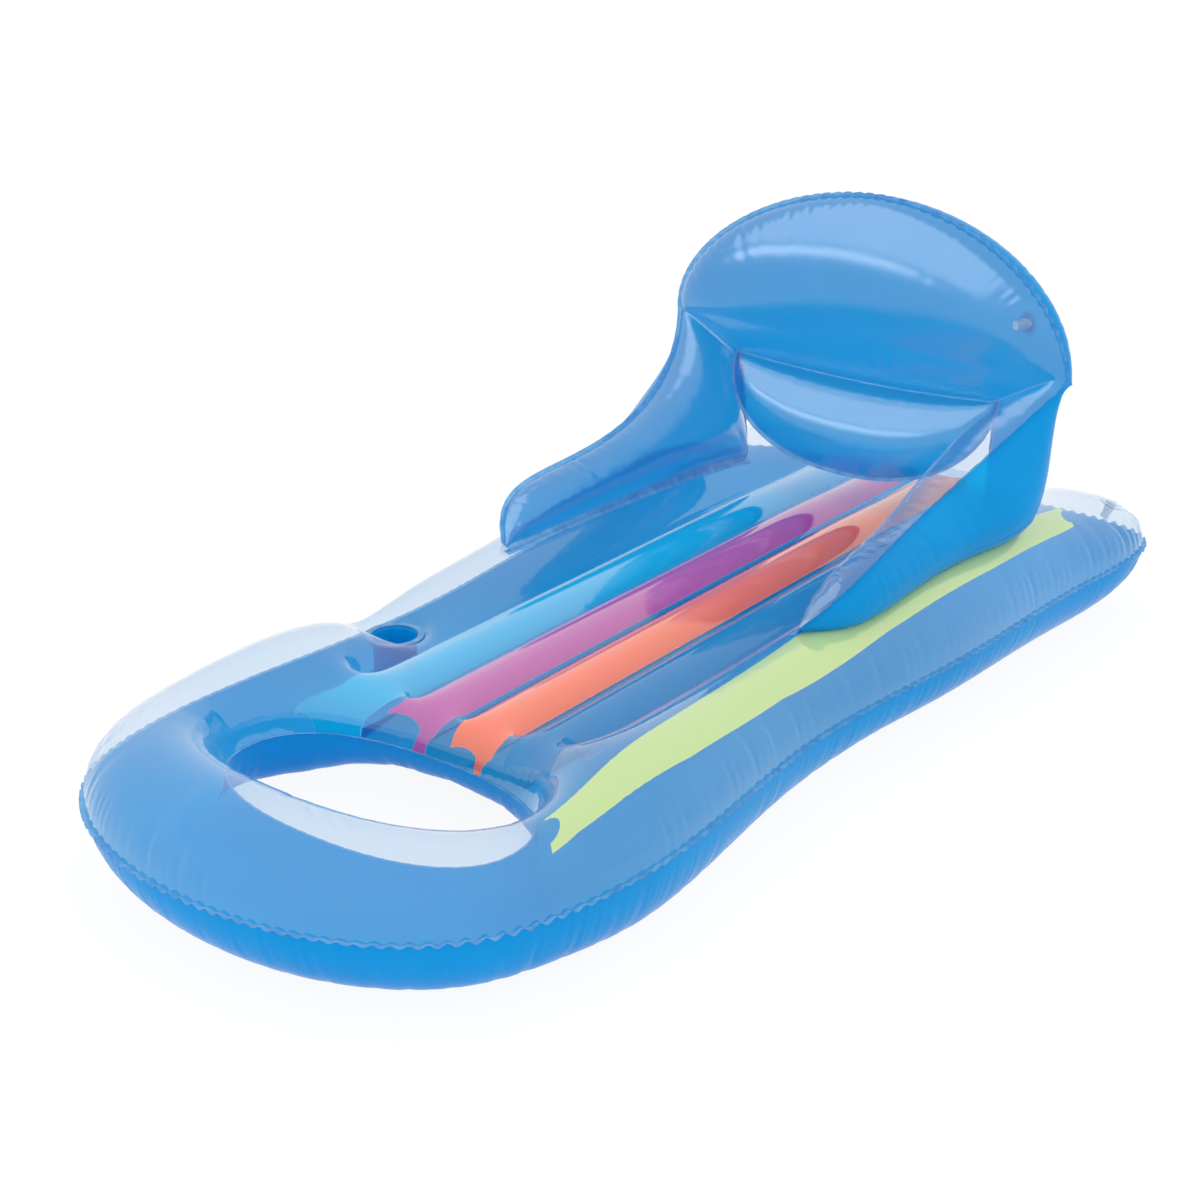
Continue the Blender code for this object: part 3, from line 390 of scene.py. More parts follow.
def waves(turn, count, rng, width=0.35, parts=6):
    """An uneven wave round a closed weld, with about this many crests. The turn runs from 0 to 1."""
    total = 0
    for _ in range(parts):
        crests = round(count * (1 + width * rng.uniform(-1, 1)))
        total = total + rng.uniform(0.6, 1) * np.sin(2 * math.pi * (crests * turn + rng.uniform()))
    return total / math.sqrt(parts)


def ripples(turn, count, rng, drift=(2.2, 9), swell=(0.3, 15)):
    """The rather even ripples of a weld edge. They drift to and fro and swell a little, by this
    much and this often."""
    phase = 2 * math.pi * round(count) * turn + drift[0] * waves(turn, drift[1], rng)
    return np.sin(phase) * (1 + swell[0] * waves(turn, swell[1], rng))


seam_knots = [(x * half_width, y * half_length) for x, y in outline_shares]
seam_knots += [(0, half_length)] + [(-x, y) for x, y in seam_knots[:0:-1]]
# Blown up, the float isn't quite even: its far foot corner stands out a little
seam_knots[-2:] = [(x - far_foot_bulge[0], y - far_foot_bulge[1]) for x, y in seam_knots[-2:]]
seam_loop = weld_points(closed_spline(seam_knots), closed=True)
seam_loop *= np.array([half_width, half_length]) / np.abs(seam_loop).max(axis=0)
hole_front = -half_length + foot_tube_width
hole_rear = hole_front + foot_hole_size[1]
hole_loop = arc(foot_hole_size[0] / 2, foot_hole_size[1] / 2, foot_hole_power, 2 * math.pi)[:-1]
hole_loop = weld_points(hole_loop, closed=True)
hole_loop += (0, (hole_front + hole_rear) / 2)
beam_front = hole_rear + front_passage
beam_rear = half_length - rear_passage
beam_places = [(k - channel_count / 2) * channel_width for k in range(channel_count + 1)]
beam_line = np.linspace(beam_front, beam_rear, round((beam_rear - beam_front) / beam_pitch) + 1)

rim_low, rim_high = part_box("cup_holder_rim")
cup_centre = np.array([(rim_low[k] + rim_high[k]) / 2 for k in (0, 1)])
cup_seat_radius = (rim_high[0] - rim_low[0]) / 2
cup_radius = cup_seat_radius - weld_edge
cup_rings = [cup_radius, (cup_radius + cup_seat_radius) / 2]
cup_rings += [cup_seat_radius + wider for wider in (0, 3 * MM, 8 * MM, 15 * MM)]

arm_tip_share = (0.2783, -0.018)
arm_heel_share = (0.1503, 0.674)
arm_band_half_width = 5 * MM
arm_band_steps = 64
beside = half_width - beam_places[-1]
arm_tip, arm_heel = (np.array([beam_places[-1] + across * beside, along * half_length])
                     for across, along in (arm_tip_share, arm_heel_share))
arm_run = (arm_tip - arm_heel) / np.linalg.norm(arm_tip - arm_heel)
arm_square = np.array([-arm_run[1], arm_run[0]])
arm_middle = arm_heel + (arm_tip - arm_heel) * np.linspace(0, 1, arm_band_steps + 1)[:, None]

float_layout = Layout()
float_layout.weld("seam", seam_loop, left_inside=True)
float_layout.weld("hole", hole_loop, left_inside=False)
for radius in cup_rings:
    held = radius <= cup_seat_radius
    float_layout.add("cup" if held else "cup_round", ring(cup_centre, radius, cup_ring_points),
                     keep_line=held, closed=held)
for x in beam_places:
    float_layout.add("beam", [(x, y) for y in beam_line], keep_line=True)
    for side in (-1, 1):
        for distance in beam_side_rows:
            float_layout.add("beam_side", [(x + side * distance, y) for y in beam_line])
for side, side_name in ((-1, "left"), (1, "right")):
    for place in (-1, 0, 1):
        line = (arm_middle + arm_square * arm_band_half_width * place) * (side, 1)
        float_layout.add("arm_band_" + side_name, line, keep_line=True)
net = hexagons((-half_width, -half_length), (half_width, half_length), film_pitch)
net = net[inside(net, seam_loop) & ~inside(net, hole_loop)]
net = net[nearest(net, np.vstack([seam_loop, hole_loop]))[0] > weld_rows[-1] + film_pitch / 2]
float_layout.fill(net, film_pitch * net_clearance)
float_plan = float_layout.points
float_x, float_y = float_plan.T
float_faces = float_layout.triangles(seam_loop, [hole_loop])
flat_float = raised(float_plan)

# The tubes at the foot end and beside the hole are narrower but stand as deep, so their film
# bulges more, and most at the near side
foot_fullness = 1.3
foot_from, foot_to = -280 * MM, -480 * MM
near_fullness = 0.22
side_fullness = 0.75
side_from, side_to = 140 * MM, 200 * MM
side_middle, side_reach = -300 * MM, 360 * MM
foot_share = ease(ramp(float_y, foot_from, foot_to))
near_share = np.clip(float_x / half_width, -1, 1)
side_share = ramp(float_x, side_from, side_to)
side_share *= np.clip(1 - ((float_y - side_middle) / side_reach) ** 2, 0, 1)
bottom_pressure = 1 + (foot_fullness - 1 + near_fullness * near_share) * foot_share
bottom_pressure += side_fullness * side_share
held_points = {n: 0.0 for n in float_layout.groups["seam"] + float_layout.groups["hole"]}
in_cup = np.where(np.linalg.norm(float_plan - cup_centre, axis=1) < cup_seat_radius)[0].tolist()
held_points.update({n: beam_half_height for n in
                    float_layout.groups["beam"] + float_layout.groups["cup"] + in_cup})
bottom_depth = blow_up(flat_float, float_faces, held_points, bottom_pressure)

# Creases: the film is a little too long where it meets a weld, so it flutters there and sinks
# into folds square to the weld, fine and broad: (distance apart, place of the deepest, depth)
flutter_pitch = 17 * MM
flutter_height = 0.9 * MM
flutter_reach = 9 * MM
folds = ((13 * MM, 7 * MM, 1.1 * MM), (34 * MM, 17 * MM, 1.3 * MM))
fold_sharpness = 1.6
seam_slack_range = (0.55, 1.45)
hole_slack = 0.5
hole_flutter_share = 0.12
far_calm = 0.7
far_side_from, far_side_to = -50 * MM, -200 * MM
far_foot_from, far_foot_to = -620 * MM, -500 * MM
bend_reach = 12
bend_window = 61
bend_gain = 1.3
floor_gap = 0.2 * MM

float_rng = np.random.default_rng(7)
float_turns = [np.arange(len(loop)) / len(loop) for loop in (seam_loop, hole_loop)]
float_lengths = [path_length(loop, True) for loop in (seam_loop, hole_loop)]
seam_bend = np.linalg.norm(np.roll(seam_loop, -bend_reach, axis=0) + np.roll(seam_loop, bend_reach, axis=0)
                           - 2 * seam_loop, axis=1)
wrap = bend_window // 2
seam_bend = np.convolve(np.concatenate([seam_bend[-wrap:], seam_bend, seam_bend[:wrap]]),
                        np.ones(bend_window) / bend_window, "valid")
seam_slack = np.interp(bend_gain * seam_bend / seam_bend.max(), (0, 1), seam_slack_range)
# The far side's weld and the hole's are drawn tighter and lie nearly smooth
far_share = ramp(seam_loop[:, 0], far_side_from, far_side_to)
far_share *= ramp(seam_loop[:, 1], far_foot_from, far_foot_to)
seam_slack *= 1 - far_calm * far_share
seam_flutter, hole_flutter = (ripples(turn, length / flutter_pitch, float_rng)
                              for turn, length in zip(float_turns, float_lengths))
seam_flutter *= seam_slack
hole_flutter *= hole_flutter_share
weld_flutter = np.concatenate([seam_flutter, hole_flutter])
weld_slack = np.concatenate([seam_slack, np.full(len(hole_loop), hole_slack)])
from_weld, weld_number = nearest(float_plan, np.vstack([seam_loop, hole_loop]))


def fold_sink(seed, turns, lengths, slack, distance, number):
    """How far each point of a film sinks into the folds at its nearest weld point."""
    rng = np.random.default_rng(seed)
    rows = [[waves(turn, length / apart, rng) for apart, _, _ in folds]
            for turn, length in zip(turns, lengths)]
    sink = 0
    for kind, (_, reach, depth) in zip(zip(*rows), folds):
        deepest = np.clip(np.concatenate(kind), 0, 2) ** fold_sharpness * slack
        sink = sink - deepest[number] * depth * distance / reach * np.exp(1 - distance / reach)
    return sink[:, None]


def weld_wave(flutter, distance):
    """How far the flutter of a weld moves the film at this distance from it."""
    return flutter_height * flutter * np.exp(-distance / flutter_reach)


def creased(points, faces, side):
    """The float's film with its folds along the welds. The side is 1 for the top film."""
    sink = fold_sink(11 + side, float_turns, float_lengths, weld_slack, from_weld, weld_number)
    lifted = points + side * normals_of(points, faces) * sink
    lifted[:, 2] += weld_wave(weld_flutter[weld_number], from_weld)
    return lifted


bottom_points = creased(flat_float + up * (seam_height - bottom_depth)[:, None], float_faces, -1)
bottom_points[:, 2] = np.maximum(bottom_points[:, 2], floor_gap)

# Blue PVC film, calendered and glossy: saturated blue that lets about a third of the light through
blue_film = soft_pvc("blue translucent PVC film", 111 * MM, ("0A9CD8", "10AAE6"), (0.08, 0.18),
                     "18B8F6", 0.66, dents=(31.25 * MM, 0.25, 1.2 * MM), detail=3.0,
                     finish={"Specular IOR Level": 0.1})

mattress_bottom = make_piece("mattress_bottom", bottom_points, float_faces[:, ::-1], blue_film,
                             ["mattress_bottom_film"])

# Beams inside the float
# Five upright webs of clear PVC film, welded to the bottom film and to the top film, that hold
# the channels flat. Both ends stop short, so that air passes from channel to channel.

beam_rows = 9
web_bow = 3 * MM
web_end_cut = 14 * MM
web_wave_turn = 23
web_shift = 1.7
web_steps = len(beam_line) // 2

# Clear PVC film, nearly colourless: it shows as a pale veil with bright edges
clear_web = soft_pvc("clear PVC film of the beams", 50 * MM, ("B4D8F2", "CDE6F8"), 0.2, "EAF5FD", 0.12)


def grid_faces(rows, columns, closed=False):
    """Faces of a grid of points, row after row."""
    around = columns if closed else columns - 1
    row, column = np.meshgrid(np.arange(rows - 1), np.arange(around), indexing="ij")
    a = (row * columns + column).ravel()
    b = (row * columns + (column + 1) % columns).ravel()
    return np.stack([a, b, b + columns, a + columns], axis=1)


for number, x in enumerate(beam_places):
    web = []
    for share in np.linspace(-1, 1, beam_rows):
        free = 1 - share * share
        line = np.linspace(beam_front + web_end_cut * free, beam_rear - web_end_cut * free, web_steps)
        lean = web_bow * free * np.sin(line * web_wave_turn + number * web_shift)
        web.append(raised(np.column_stack([x + lean, line]), seam_height + share * beam_half_height))
    make_piece("beam_web_%d" % (number + 1), np.vstack(web), grid_faces(beam_rows, web_steps),
               clear_web, ["beam_%d" % (number + 1)])

# Cup holder sleeve
# A tube of blue PVC film between the two films, turned out flat at both ends and welded there.
# It holds a cup and keeps the two films a set distance apart.

sleeve_segments = 96
sleeve_rows = 15
sleeve_folds = 9
sleeve_waist = 2.2 * MM
sleeve_fold_depth = 0.8 * MM

angles = np.linspace(0, 2 * math.pi, sleeve_segments, endpoint=False)
shares = np.linspace(-1, 1, sleeve_rows)
sleeve_heights = seam_height + shares * (beam_half_height - film_gap)
sleeve = [raised(ring(cup_centre, cup_seat_radius, sleeve_segments), sleeve_heights[0])]
for share, height in zip(shares, sleeve_heights):
    drawn_in = sleeve_waist + sleeve_fold_depth * np.sin(sleeve_folds * angles + 2 * share)
    radius = cup_radius - (1 - share ** 2) * drawn_in
    sleeve.append(raised(ring(cup_centre, radius, sleeve_segments), height))
sleeve.append(raised(sleeve[0][:, :2], sleeve_heights[-1]))
make_piece("cup_sleeve", np.vstack(sleeve), grid_faces(len(sleeve), sleeve_segments, True),
           blue_film, ["cup_holder_sleeve"])

# Top film of the float
# Clear PVC film with lengthwise stripes of translucent ink. The film is drawn down to the beams,
# to the cup holder and, at the rear corner, to the flat base of the valve.

top_pressure = 1.04
head_droop_share = 0.38
head_droop_start = 0.5 * half_length
head_droop_end = 0.85 * half_length
valve_base_thickness = 1.2 * MM
valve_seat_gap = 0.2 * MM
valve_base_radius = 16 * MM
valve_blend_radius = 42 * MM
valve_reach = 1.3 * valve_blend_radius
valve_bore = 7 * MM


def valve_seat(node, slide):
    """(point, normal) of the plane on which a valve's base lies."""
    corners = np.array([corner.co[:] for corner in frame["nodes"][node].data.vertices])
    axis = next(joint["axis"] for joint in frame["joints"] if joint["name"] == slide)
    normal = unit(np.array([axis]))[0]
    middle = corners.mean(0)
    reach = ((corners - middle) @ normal).max() - valve_base_thickness - valve_seat_gap
    return middle + normal * reach, normal


def seat_film(points, seat, axis):
    """Draws a film to the plane of a valve's base, along one axis, and fades that out round it."""
    place, normal = seat
    apart = points - place
    near = np.linalg.norm(apart, axis=1) < valve_reach
    apart = apart - (apart @ normal)[:, None] * normal
    to_plane = ((place - points) @ normal) / normal[axis]
    to_plane *= ease(ramp(np.linalg.norm(apart, axis=1), valve_blend_radius, valve_base_radius))
    moved = points.copy()
    moved[near, axis] += to_plane[near]
    return moved


top_rise = blow_up(flat_float, float_faces, held_points, top_pressure)
head_droop = head_droop_share * ease(ramp(float_y, head_droop_start, head_droop_end))
top_rise -= np.maximum(top_rise - beam_half_height, 0) * head_droop
top_points = creased(flat_float + up * (seam_height + top_rise)[:, None], float_faces, 1)
mattress_seat = valve_seat("mattress_valve", "mattress_valve_stem_slide")
top_points = seat_film(top_points, mattress_seat, 2)
top_centres = top_points[float_faces].mean(1)
open_cup = np.linalg.norm(top_centres[:, :2] - cup_centre, axis=1) < cup_radius
open_valve = np.linalg.norm(top_centres - mattress_seat[0], axis=1) < valve_bore
top_faces = float_faces[~open_cup & ~open_valve]

# The ink is printed on the flat cut film, which is drawn together where it is gathered at the
# hole's weld and follows the outline beside the tube. An edge of the print is straight on the
# cut film (its key) and runs through these places (y, x) on the blown-up one.
print_edges = {-350: [(0, -350)],
               -150: [(-422, -172), (-382, -142), (-314, -140), (-219, -146), (-34, -154)],
               -90: [(-414, -152), (-396, -119), (-375, -96), (-355, -86)],
               -70: [(-390, -90), (-361, -74)], -12: [(-381, -33), (-374, -21), (-358, -9)],
               10: [(-380, 12), (-350, 7)], 68: [(-384, 46), (-378, 66), (-361, 71)],
               92: [(-390, 96), (-360, 88)], 148: [(-420, 172), (-390, 160), (-330, 150)],
               215: [(-497, 243), (-385, 236), (-213, 226), (0, 215), (300, 240), (491, 262), (570, 266)],
               268: [(-526, 274), (-315, 280), (-129, 272), (91, 280), (315, 294), (509, 303)],
               350: [(0, 350)]}
lime_slant = 0.9
lime_from, lime_to, lime_axis = 160 * MM, 200 * MM, 250 * MM
ridge_height = 135 * MM
ridge_from, ridge_to = -340 * MM, -360 * MM
hole_side_from, hole_side_to = 190 * MM, 170 * MM
edges_cut = np.array(list(print_edges)) * MM
edge_places = np.stack([np.interp(float_y, *(np.array(places).T * MM))
                        for places in print_edges.values()], axis=1)
cut_across = np.array([np.interp(x, places, edges_cut) for x, places in zip(float_x, edge_places)])
slant = lime_slant * ramp(cut_across, lime_from, lime_to)
cut_along = float_y + slant * (float_x - lime_axis)
# The film runs down steeply from the ridge to the hole, so more of it lies there than the plan shows
downhill = ramp(float_y, ridge_from, ridge_to) * ramp(np.abs(float_x), hole_side_from, hole_side_to)
cut_along -= np.maximum(ridge_height - top_points[:, 2], 0) * downhill

# Stripes: ink, its density, its edges, its front and rear end, and the bites' centres and radii
stripes = [("10B0E6", 0.9, -150, -83, -458, 680, (-130, -474, 34), (-119, 684, 17)),
           ("C04CA2", 0.9, -70, -7, -425, 680, (-50, -413, 32), (-39, 684, 17)),
           ("FF6C30", 0.9, 10, 73, -430, 680, (30, -430, 33), (40, 684, 17)),
           ("3A92D6", 0.4, 90, 153, -445, 680, (120, -432, 36), (121, 684, 17)),
           ("C2DC80", 0.9, 215, 268, -510, 580, (237, -511, 19), (242, 584, 17))]
ink_blur = 0.4 * MM


def veil(tree):
    """Share of a clear film's own skin: a tenth when looked at squarely, all of it edge on."""
    edge_on = add_node(tree, "LayerWeight", {"Blend": 0.5})
    steep = add_node(tree, "Math", {0: edge_on.outputs["Facing"], 1: 4.0}, operation="POWER")
    return add_node(tree, "MapRange", {"Value": steep, "To Min": 0.1, "To Max": 1.0})


# Clear PVC film with printed ink: each skin of the film mirrors a little of the bright room, and
# more the flatter it is looked at. The ink is dense and takes away the clear film's mirror.
clear_passing = "EBF3FA"
clear_dents = (38.5 * MM, 0.25, 1.0 * MM)
printed_film, tree = new_material("clear printed PVC film")
places = add_node(tree, "TexCoord").outputs["Object"]
cut_place = add_node(tree, "Attribute", attribute_name="cut_place").outputs["Vector"]
split = add_node(tree, "SeparateXYZ", {"Vector": cut_place})
colour, density = linear("F2F8FE"), None
for ink, cover, left, right, front, rear, *bites in stripes:
    limits = []
    for axis, low, high in (("X", left, right), ("Y", front, rear)):
        middle, half = (low + high) / 2 * MM, (high - low) / 2 * MM
        apart = add_node(tree, "Math", {0: split.outputs[axis], 1: middle}, operation="SUBTRACT")
        apart = add_node(tree, "Math", {0: apart}, operation="ABSOLUTE")
        limits.append(add_node(tree, "Math", {0: half, 1: apart}, operation="SUBTRACT"))
    for x, y, radius in bites:
        bite = add_node(tree, "VectorMath", {0: cut_place, 1: (x * MM, y * MM, 0)}, operation="DISTANCE")
        bite = {0: bite.outputs["Value"], 1: radius * MM}
        limits.append(add_node(tree, "Math", bite, operation="SUBTRACT"))
    mask = limits[0]
    for limit in limits[1:]:
        mask = add_node(tree, "Math", {0: mask, 1: limit}, operation="MINIMUM")
    mask = add_node(tree, "MapRange", {"Value": mask, "From Min": -ink_blur, "From Max": ink_blur})
    colour = add_node(tree, "MixRGB", {"Fac": mask, "Color1": colour, "Color2": linear(ink)})
    mask = add_node(tree, "Math", {0: mask, 1: cover}, operation="MULTIPLY")
    if density is not None:
        mask = add_node(tree, "Math", {0: density, 1: mask}, operation="MAXIMUM")
    density = mask
bare = add_node(tree, "MapRange", {"Value": density, "From Max": 0.3, "To Min": 0.85, "To Max": 0.0})
skin = add_node(tree, "BsdfPrincipled", {
    "Base Color": colour, "Metallic": bare, "Roughness": 0.07, "IOR": pvc_ior, "Specular IOR Level": 0.9,
    "Coat Weight": 0.8, "Coat IOR": pvc_ior, "Normal": dented(tree, places, *clear_dents)})
covered = add_node(tree, "Math", {0: veil(tree), 1: density}, operation="MAXIMUM")
lay_film(tree, skin, clear_passing, covered)

mattress_top = make_piece("mattress_top", top_points, top_faces, printed_film,
                          ["mattress_top_film"])
cut_places = mattress_top.data.attributes.new("cut_place", "FLOAT_VECTOR", "POINT")
cut_places.data.foreach_set("vector", raised(np.column_stack([cut_across, cut_along])).ravel())

# Weld edges of the float
# Where the two films are heat welded they leave a flat flange outside the air space. It flutters,
# because the blown-up film behind it draws in.

outer_flange = 5.5 * MM
hole_flange = 2.5 * MM
flange_rows = [0, 0.35, 0.7, 1]
edge_flutter_height = 2.0 * MM
flange_gather = 0.7 * MM

# Two fused films: denser blue, and the weld's press marks make it less smooth. The marks are half
# a millimetre apart and are drawn five times as coarse.
welded_pvc = soft_pvc("heat welded PVC film", 16.67 * MM, ("0C74C0", "8CCCF2"), 0.16, "7CC0F0", 0.75,
                      dents=(2.5 * MM, 0.3, 0.3 * MM))


def weld_flange(name, line, away, lift, flutter, width):
    """A fluttering flange outside a closed weld line."""
    rows = []
    for share in flange_rows:
        height = flutter_height + share * (edge_flutter_height - flutter_height)
        rows.append(line + away * (share * (width - flange_gather * np.abs(flutter)))[:, None]
                    + lift * (height * flutter)[:, None])
    faces = grid_faces(len(rows), len(line), True)
    make_piece(name, np.vstack(rows), faces, welded_pvc)


for name, loop, flutter, side, width in (("mattress_weld_outer", seam_loop, seam_flutter, -1, outer_flange),
                                         ("mattress_weld_hole", hole_loop, hole_flutter, 1, hole_flange)):
    away = raised((offset(loop, side * MM) - loop) / MM)
    weld_flange(name, raised(loop, seam_height), away, up, flutter, width)

# Cup holder rim
# A ring of thicker clear-blue PVC, welded on the top film round the cup's opening. Its outer
# edge is rounded and it keeps the opening from tearing.

rim_round = (rim_high[2] - rim_low[2]) / 2
rim_profile = [(cup_radius, rim_low[2]), (cup_radius, rim_high[2] - rim_round * 0.5),
               (cup_radius + rim_round * 0.5, rim_high[2]), (cup_seat_radius - rim_round, rim_high[2]),
               (cup_seat_radius - rim_round * 0.3, rim_high[2] - rim_round * 0.4),
               (cup_seat_radius, rim_low[2] + rim_round * 0.4),
               (cup_seat_radius - rim_round * 0.3, rim_low[2])]
rim_rings = [raised(ring(cup_centre, r, sleeve_segments), z) for r, z in rim_profile + rim_profile[:1]]
make_piece("cup_rim", np.vstack(rim_rings), grid_faces(len(rim_rings), sleeve_segments, True),
           welded_pvc, ["cup_holder_rim"])

# Backrest films
# A horseshoe pocket of clear film in front and blue film behind: headrest above, lumbar tongue
# below the neck weld, and an arm on each side that runs forward down to the float.

backrest_width = 590 * MM
lounger_height = 562 * MM
headrest_power = 1.9
headrest_bow = 50 * MM
headrest_lean_share = 0.167
neck_pull_share = 0.44
tongue_depth = 0.2 * lounger_height
tongue_power = 2.3
tongue_lean_share = 0.47
crease_half_thickness = 16 * MM
backrest_fullness = 0.72
arm_fullness = 0.92
arm_outer_bulge = 0.45
arm_from, arm_to = 45 * MM, -75 * MM
arm_side_from, arm_side_to = 150 * MM, 200 * MM
arm_share_rounds = 60
facing_rounds = 160
arm_curve_shares = [(1.0, 0.650, 0.645), (0.82, 0.545, 0.480), (0.627, 0.229, 0.345), (1.054, 0.082, 0.484)]
neck_end_share = (0.681, 0.652, 0.562)
neck_sag = 0.027 * lounger_height
neck_slack = 0.6
rim_slack_places, rim_slack_range = (100 * MM, 400 * MM), (1.1, 0.35)
rim_flutter_heights, rim_flutter_range = (340 * MM, 420 * MM), (0.225, 1.08)
arm_seat = 1.7 * MM
arm_clearance = 2.0 * MM
arm_top = 240 * MM
shoulder = np.array([backrest_width / 2, arm_curve_shares[0][1] * half_length,
                     arm_curve_shares[0][2] * lounger_height])
neck_end = np.array(neck_end_share) * (backrest_width / 2, half_length, lounger_height)
dome_height = lounger_height - weld_edge - shoulder[2]
panel_pitch = 8.5 * MM


def headrest_depth(x, z):
    """Place along the float of the headrest's middle surface. Its middle bows back, and it comes
    forward above and below the shoulder."""
    above = z - shoulder[2]
    lean = np.where(above > 0, headrest_lean_share * above, -neck_pull_share * above)
    return shoulder[1] - lean + headrest_bow * (1 - (2 * x / backrest_width) ** 2)


def neck_height(x):
    """Height of the weld between headrest and lumbar tongue, which sags in the middle."""
    return neck_end[2] - neck_sag * (1 - (x / neck_end[0]) ** 2)


def headrest_lift(plan):
    """Points of the headrest's middle surface from their places across and up."""
    return np.column_stack([plan[:, 0], headrest_depth(plan[:, 0], plan[:, 1]), plan[:, 1]])


def tongue_lift(plan):
    """The same for the lumbar tongue, which comes forward below the neck weld."""
    top = neck_height(plan[:, 0])
    depth = headrest_depth(plan[:, 0], top) - tongue_lean_share * (top - plan[:, 1])
    return np.column_stack([plan[:, 0], depth, plan[:, 1]])


def panel(loop):
    """Plan mesh of a flat panel with finer rows inside its edge."""
    layout = Layout()
    layout.add("rim", loop, keep_line=True, closed=True)
    for distance in weld_rows[:-1]:
        row = offset(loop[::2] if distance > coarse_row_from else loop, distance)
        row = row[inside(row, loop)]
        row = row[nearest(row, loop)[0] > distance * row_clearance]
        layout.fill(row, min(distance * 0.6, panel_pitch * 0.35))
    net = hexagons(loop.min(0), loop.max(0), panel_pitch)
    net = net[inside(net, loop)]
    net = net[nearest(net, loop)[0] > weld_rows[-2] + panel_pitch / 2]
    layout.fill(net, panel_pitch * net_clearance)
    return layout.points, layout.triangles(loop)


neck_x = np.linspace(-neck_end[0], neck_end[0], 2 * round(neck_end[0] / weld_pitch) + 1)
neck_line = np.column_stack([neck_x, neck_height(neck_x)])
crease_line = weld_points([neck_line[-1], shoulder[[0, 2]]])
dome = weld_points(arc(backrest_width / 2, dome_height, headrest_power, math.pi) + (0, shoulder[2]))
head_loop = np.vstack([neck_line[:-1], crease_line[:-1], dome[:-1], (crease_line[::-1] * (-1, 1))[:-1]])
tongue_lower = arc(neck_end[0], tongue_depth, tongue_power, math.pi)
tongue_lower[:, 1] = neck_height(tongue_lower[:, 0]) - tongue_lower[:, 1]
tongue_loop = np.vstack([neck_line[::-1][:-1], weld_points(tongue_lower)[::-1][:-1]])


def bezier(controls, t):
    """Points of a Bezier curve, by repeated blending of its controls."""
    points = [np.asarray(c, float)[None, :] for c in controls]
    t = np.asarray(t)[:, None]
    while len(points) > 1:
        points = [a * (1 - t) + b * t for a, b in zip(points[:-1], points[1:])]
    return points[0]


arm_rows = len(crease_line) - 1
arm_columns = 110
arm_heel_turn = 3 / 11
arm_slope_until = 0.93
arm_even_share = 0.08
top_normals = normals_of(top_points, float_faces)


def arm_panel(side, side_name):
    """Grid from the upper weld of an arm down to its free edge and its foot, with its faces and
    the line on which the foot lands."""
    band = float_layout.groups["arm_band_" + side_name]
    middle = band[arm_band_steps + 1:2 * (arm_band_steps + 1)]
    landing = top_points[middle] + top_normals[middle] * arm_seat
    reach = np.array([side * backrest_width / 2, half_length, lounger_height])
    controls = [reach * shares for shares in arm_curve_shares]
    controls[0] = headrest_lift(crease_line[-1:] * (side, 1))[0]
    turns = arm_heel_turn + (1 - arm_heel_turn) * np.linspace(0, 1, arm_band_steps + 1)
    slope = bezier(controls + [landing[-1]], np.minimum(turns, arm_slope_until)) - landing
    foot = landing + unit(slope) * weld_edge
    columns = np.linspace(0, 1, arm_columns + 1)
    above = bezier(controls + [foot[-1]], columns)
    neck = headrest_lift(neck_line[-1:] * (side, 1))[0]
    before = columns < arm_heel_turn
    below = np.empty_like(above)
    below[before] = neck + (foot[0] - neck) * (columns[before] / arm_heel_turn)[:, None]
    stops = (columns[~before] - arm_heel_turn) / (1 - arm_heel_turn)
    shares = np.linspace(0, 1, len(foot))
    below[~before] = np.stack([np.interp(stops, shares, foot[:, k]) for k in range(3)], axis=1)
    even = np.linspace(0, 1, arm_rows + 1)[:, None]
    soft = 0.5 - 0.5 * np.cos(math.pi * even)
    grid = [headrest_lift((crease_line * (side, 1))[::-1])]
    for share, high, low in zip(columns[1:], above[1:], below[1:]):
        grid.append(high + (low - high) * (even + (soft - even) * min(1, share / arm_even_share)))
    faces = grid_faces(arm_columns + 1, arm_rows + 1)
    faces = np.vstack([faces[:, [0, 1, 2]], faces[:, [0, 2, 3]]])
    return np.vstack(grid), faces if side > 0 else faces[:, ::-1], landing


def joined(parts):
    """One mesh from several, with their shared points merged."""
    points = np.vstack([p for p, _ in parts])
    shift = np.cumsum([0] + [len(p) for p, _ in parts[:-1]])
    faces = np.vstack([f + s for (_, f), s in zip(parts, shift)])
    first, number = np.unique(np.round(points, 6), axis=0, return_index=True, return_inverse=True)[1:]
    faces = number.reshape(-1)[faces]
    faces = faces[(faces[:, 0] != faces[:, 1]) & (faces[:, 1] != faces[:, 2]) & (faces[:, 2] != faces[:, 0])]
    return points[first], faces


arms = [arm_panel(1, "right"), arm_panel(-1, "left")]
head_plan, head_faces = panel(head_loop)
tongue_plan, tongue_faces = panel(tongue_loop)
backrest_points, backrest_faces = joined([(headrest_lift(head_plan), head_faces),
                                          (tongue_lift(tongue_plan), tongue_faces)]
                                         + [arm[:2] for arm in arms])


def edge_loops(faces):
    """Closed runs of the edges that have one face only."""
    edges = np.concatenate([faces[:, [k, (k + 1) % 3]] for k in range(3)])
    known = set(map(tuple, edges.tolist()))
    following = {a: b for a, b in known if (b, a) not in known}
    loops = []
    while following:
        start = min(following)
        loop = [start]
        while following[loop[-1]] != start:
            loop.append(following[loop[-1]])
        for number in loop:
            del following[number]
        loops.append(loop)
    return loops


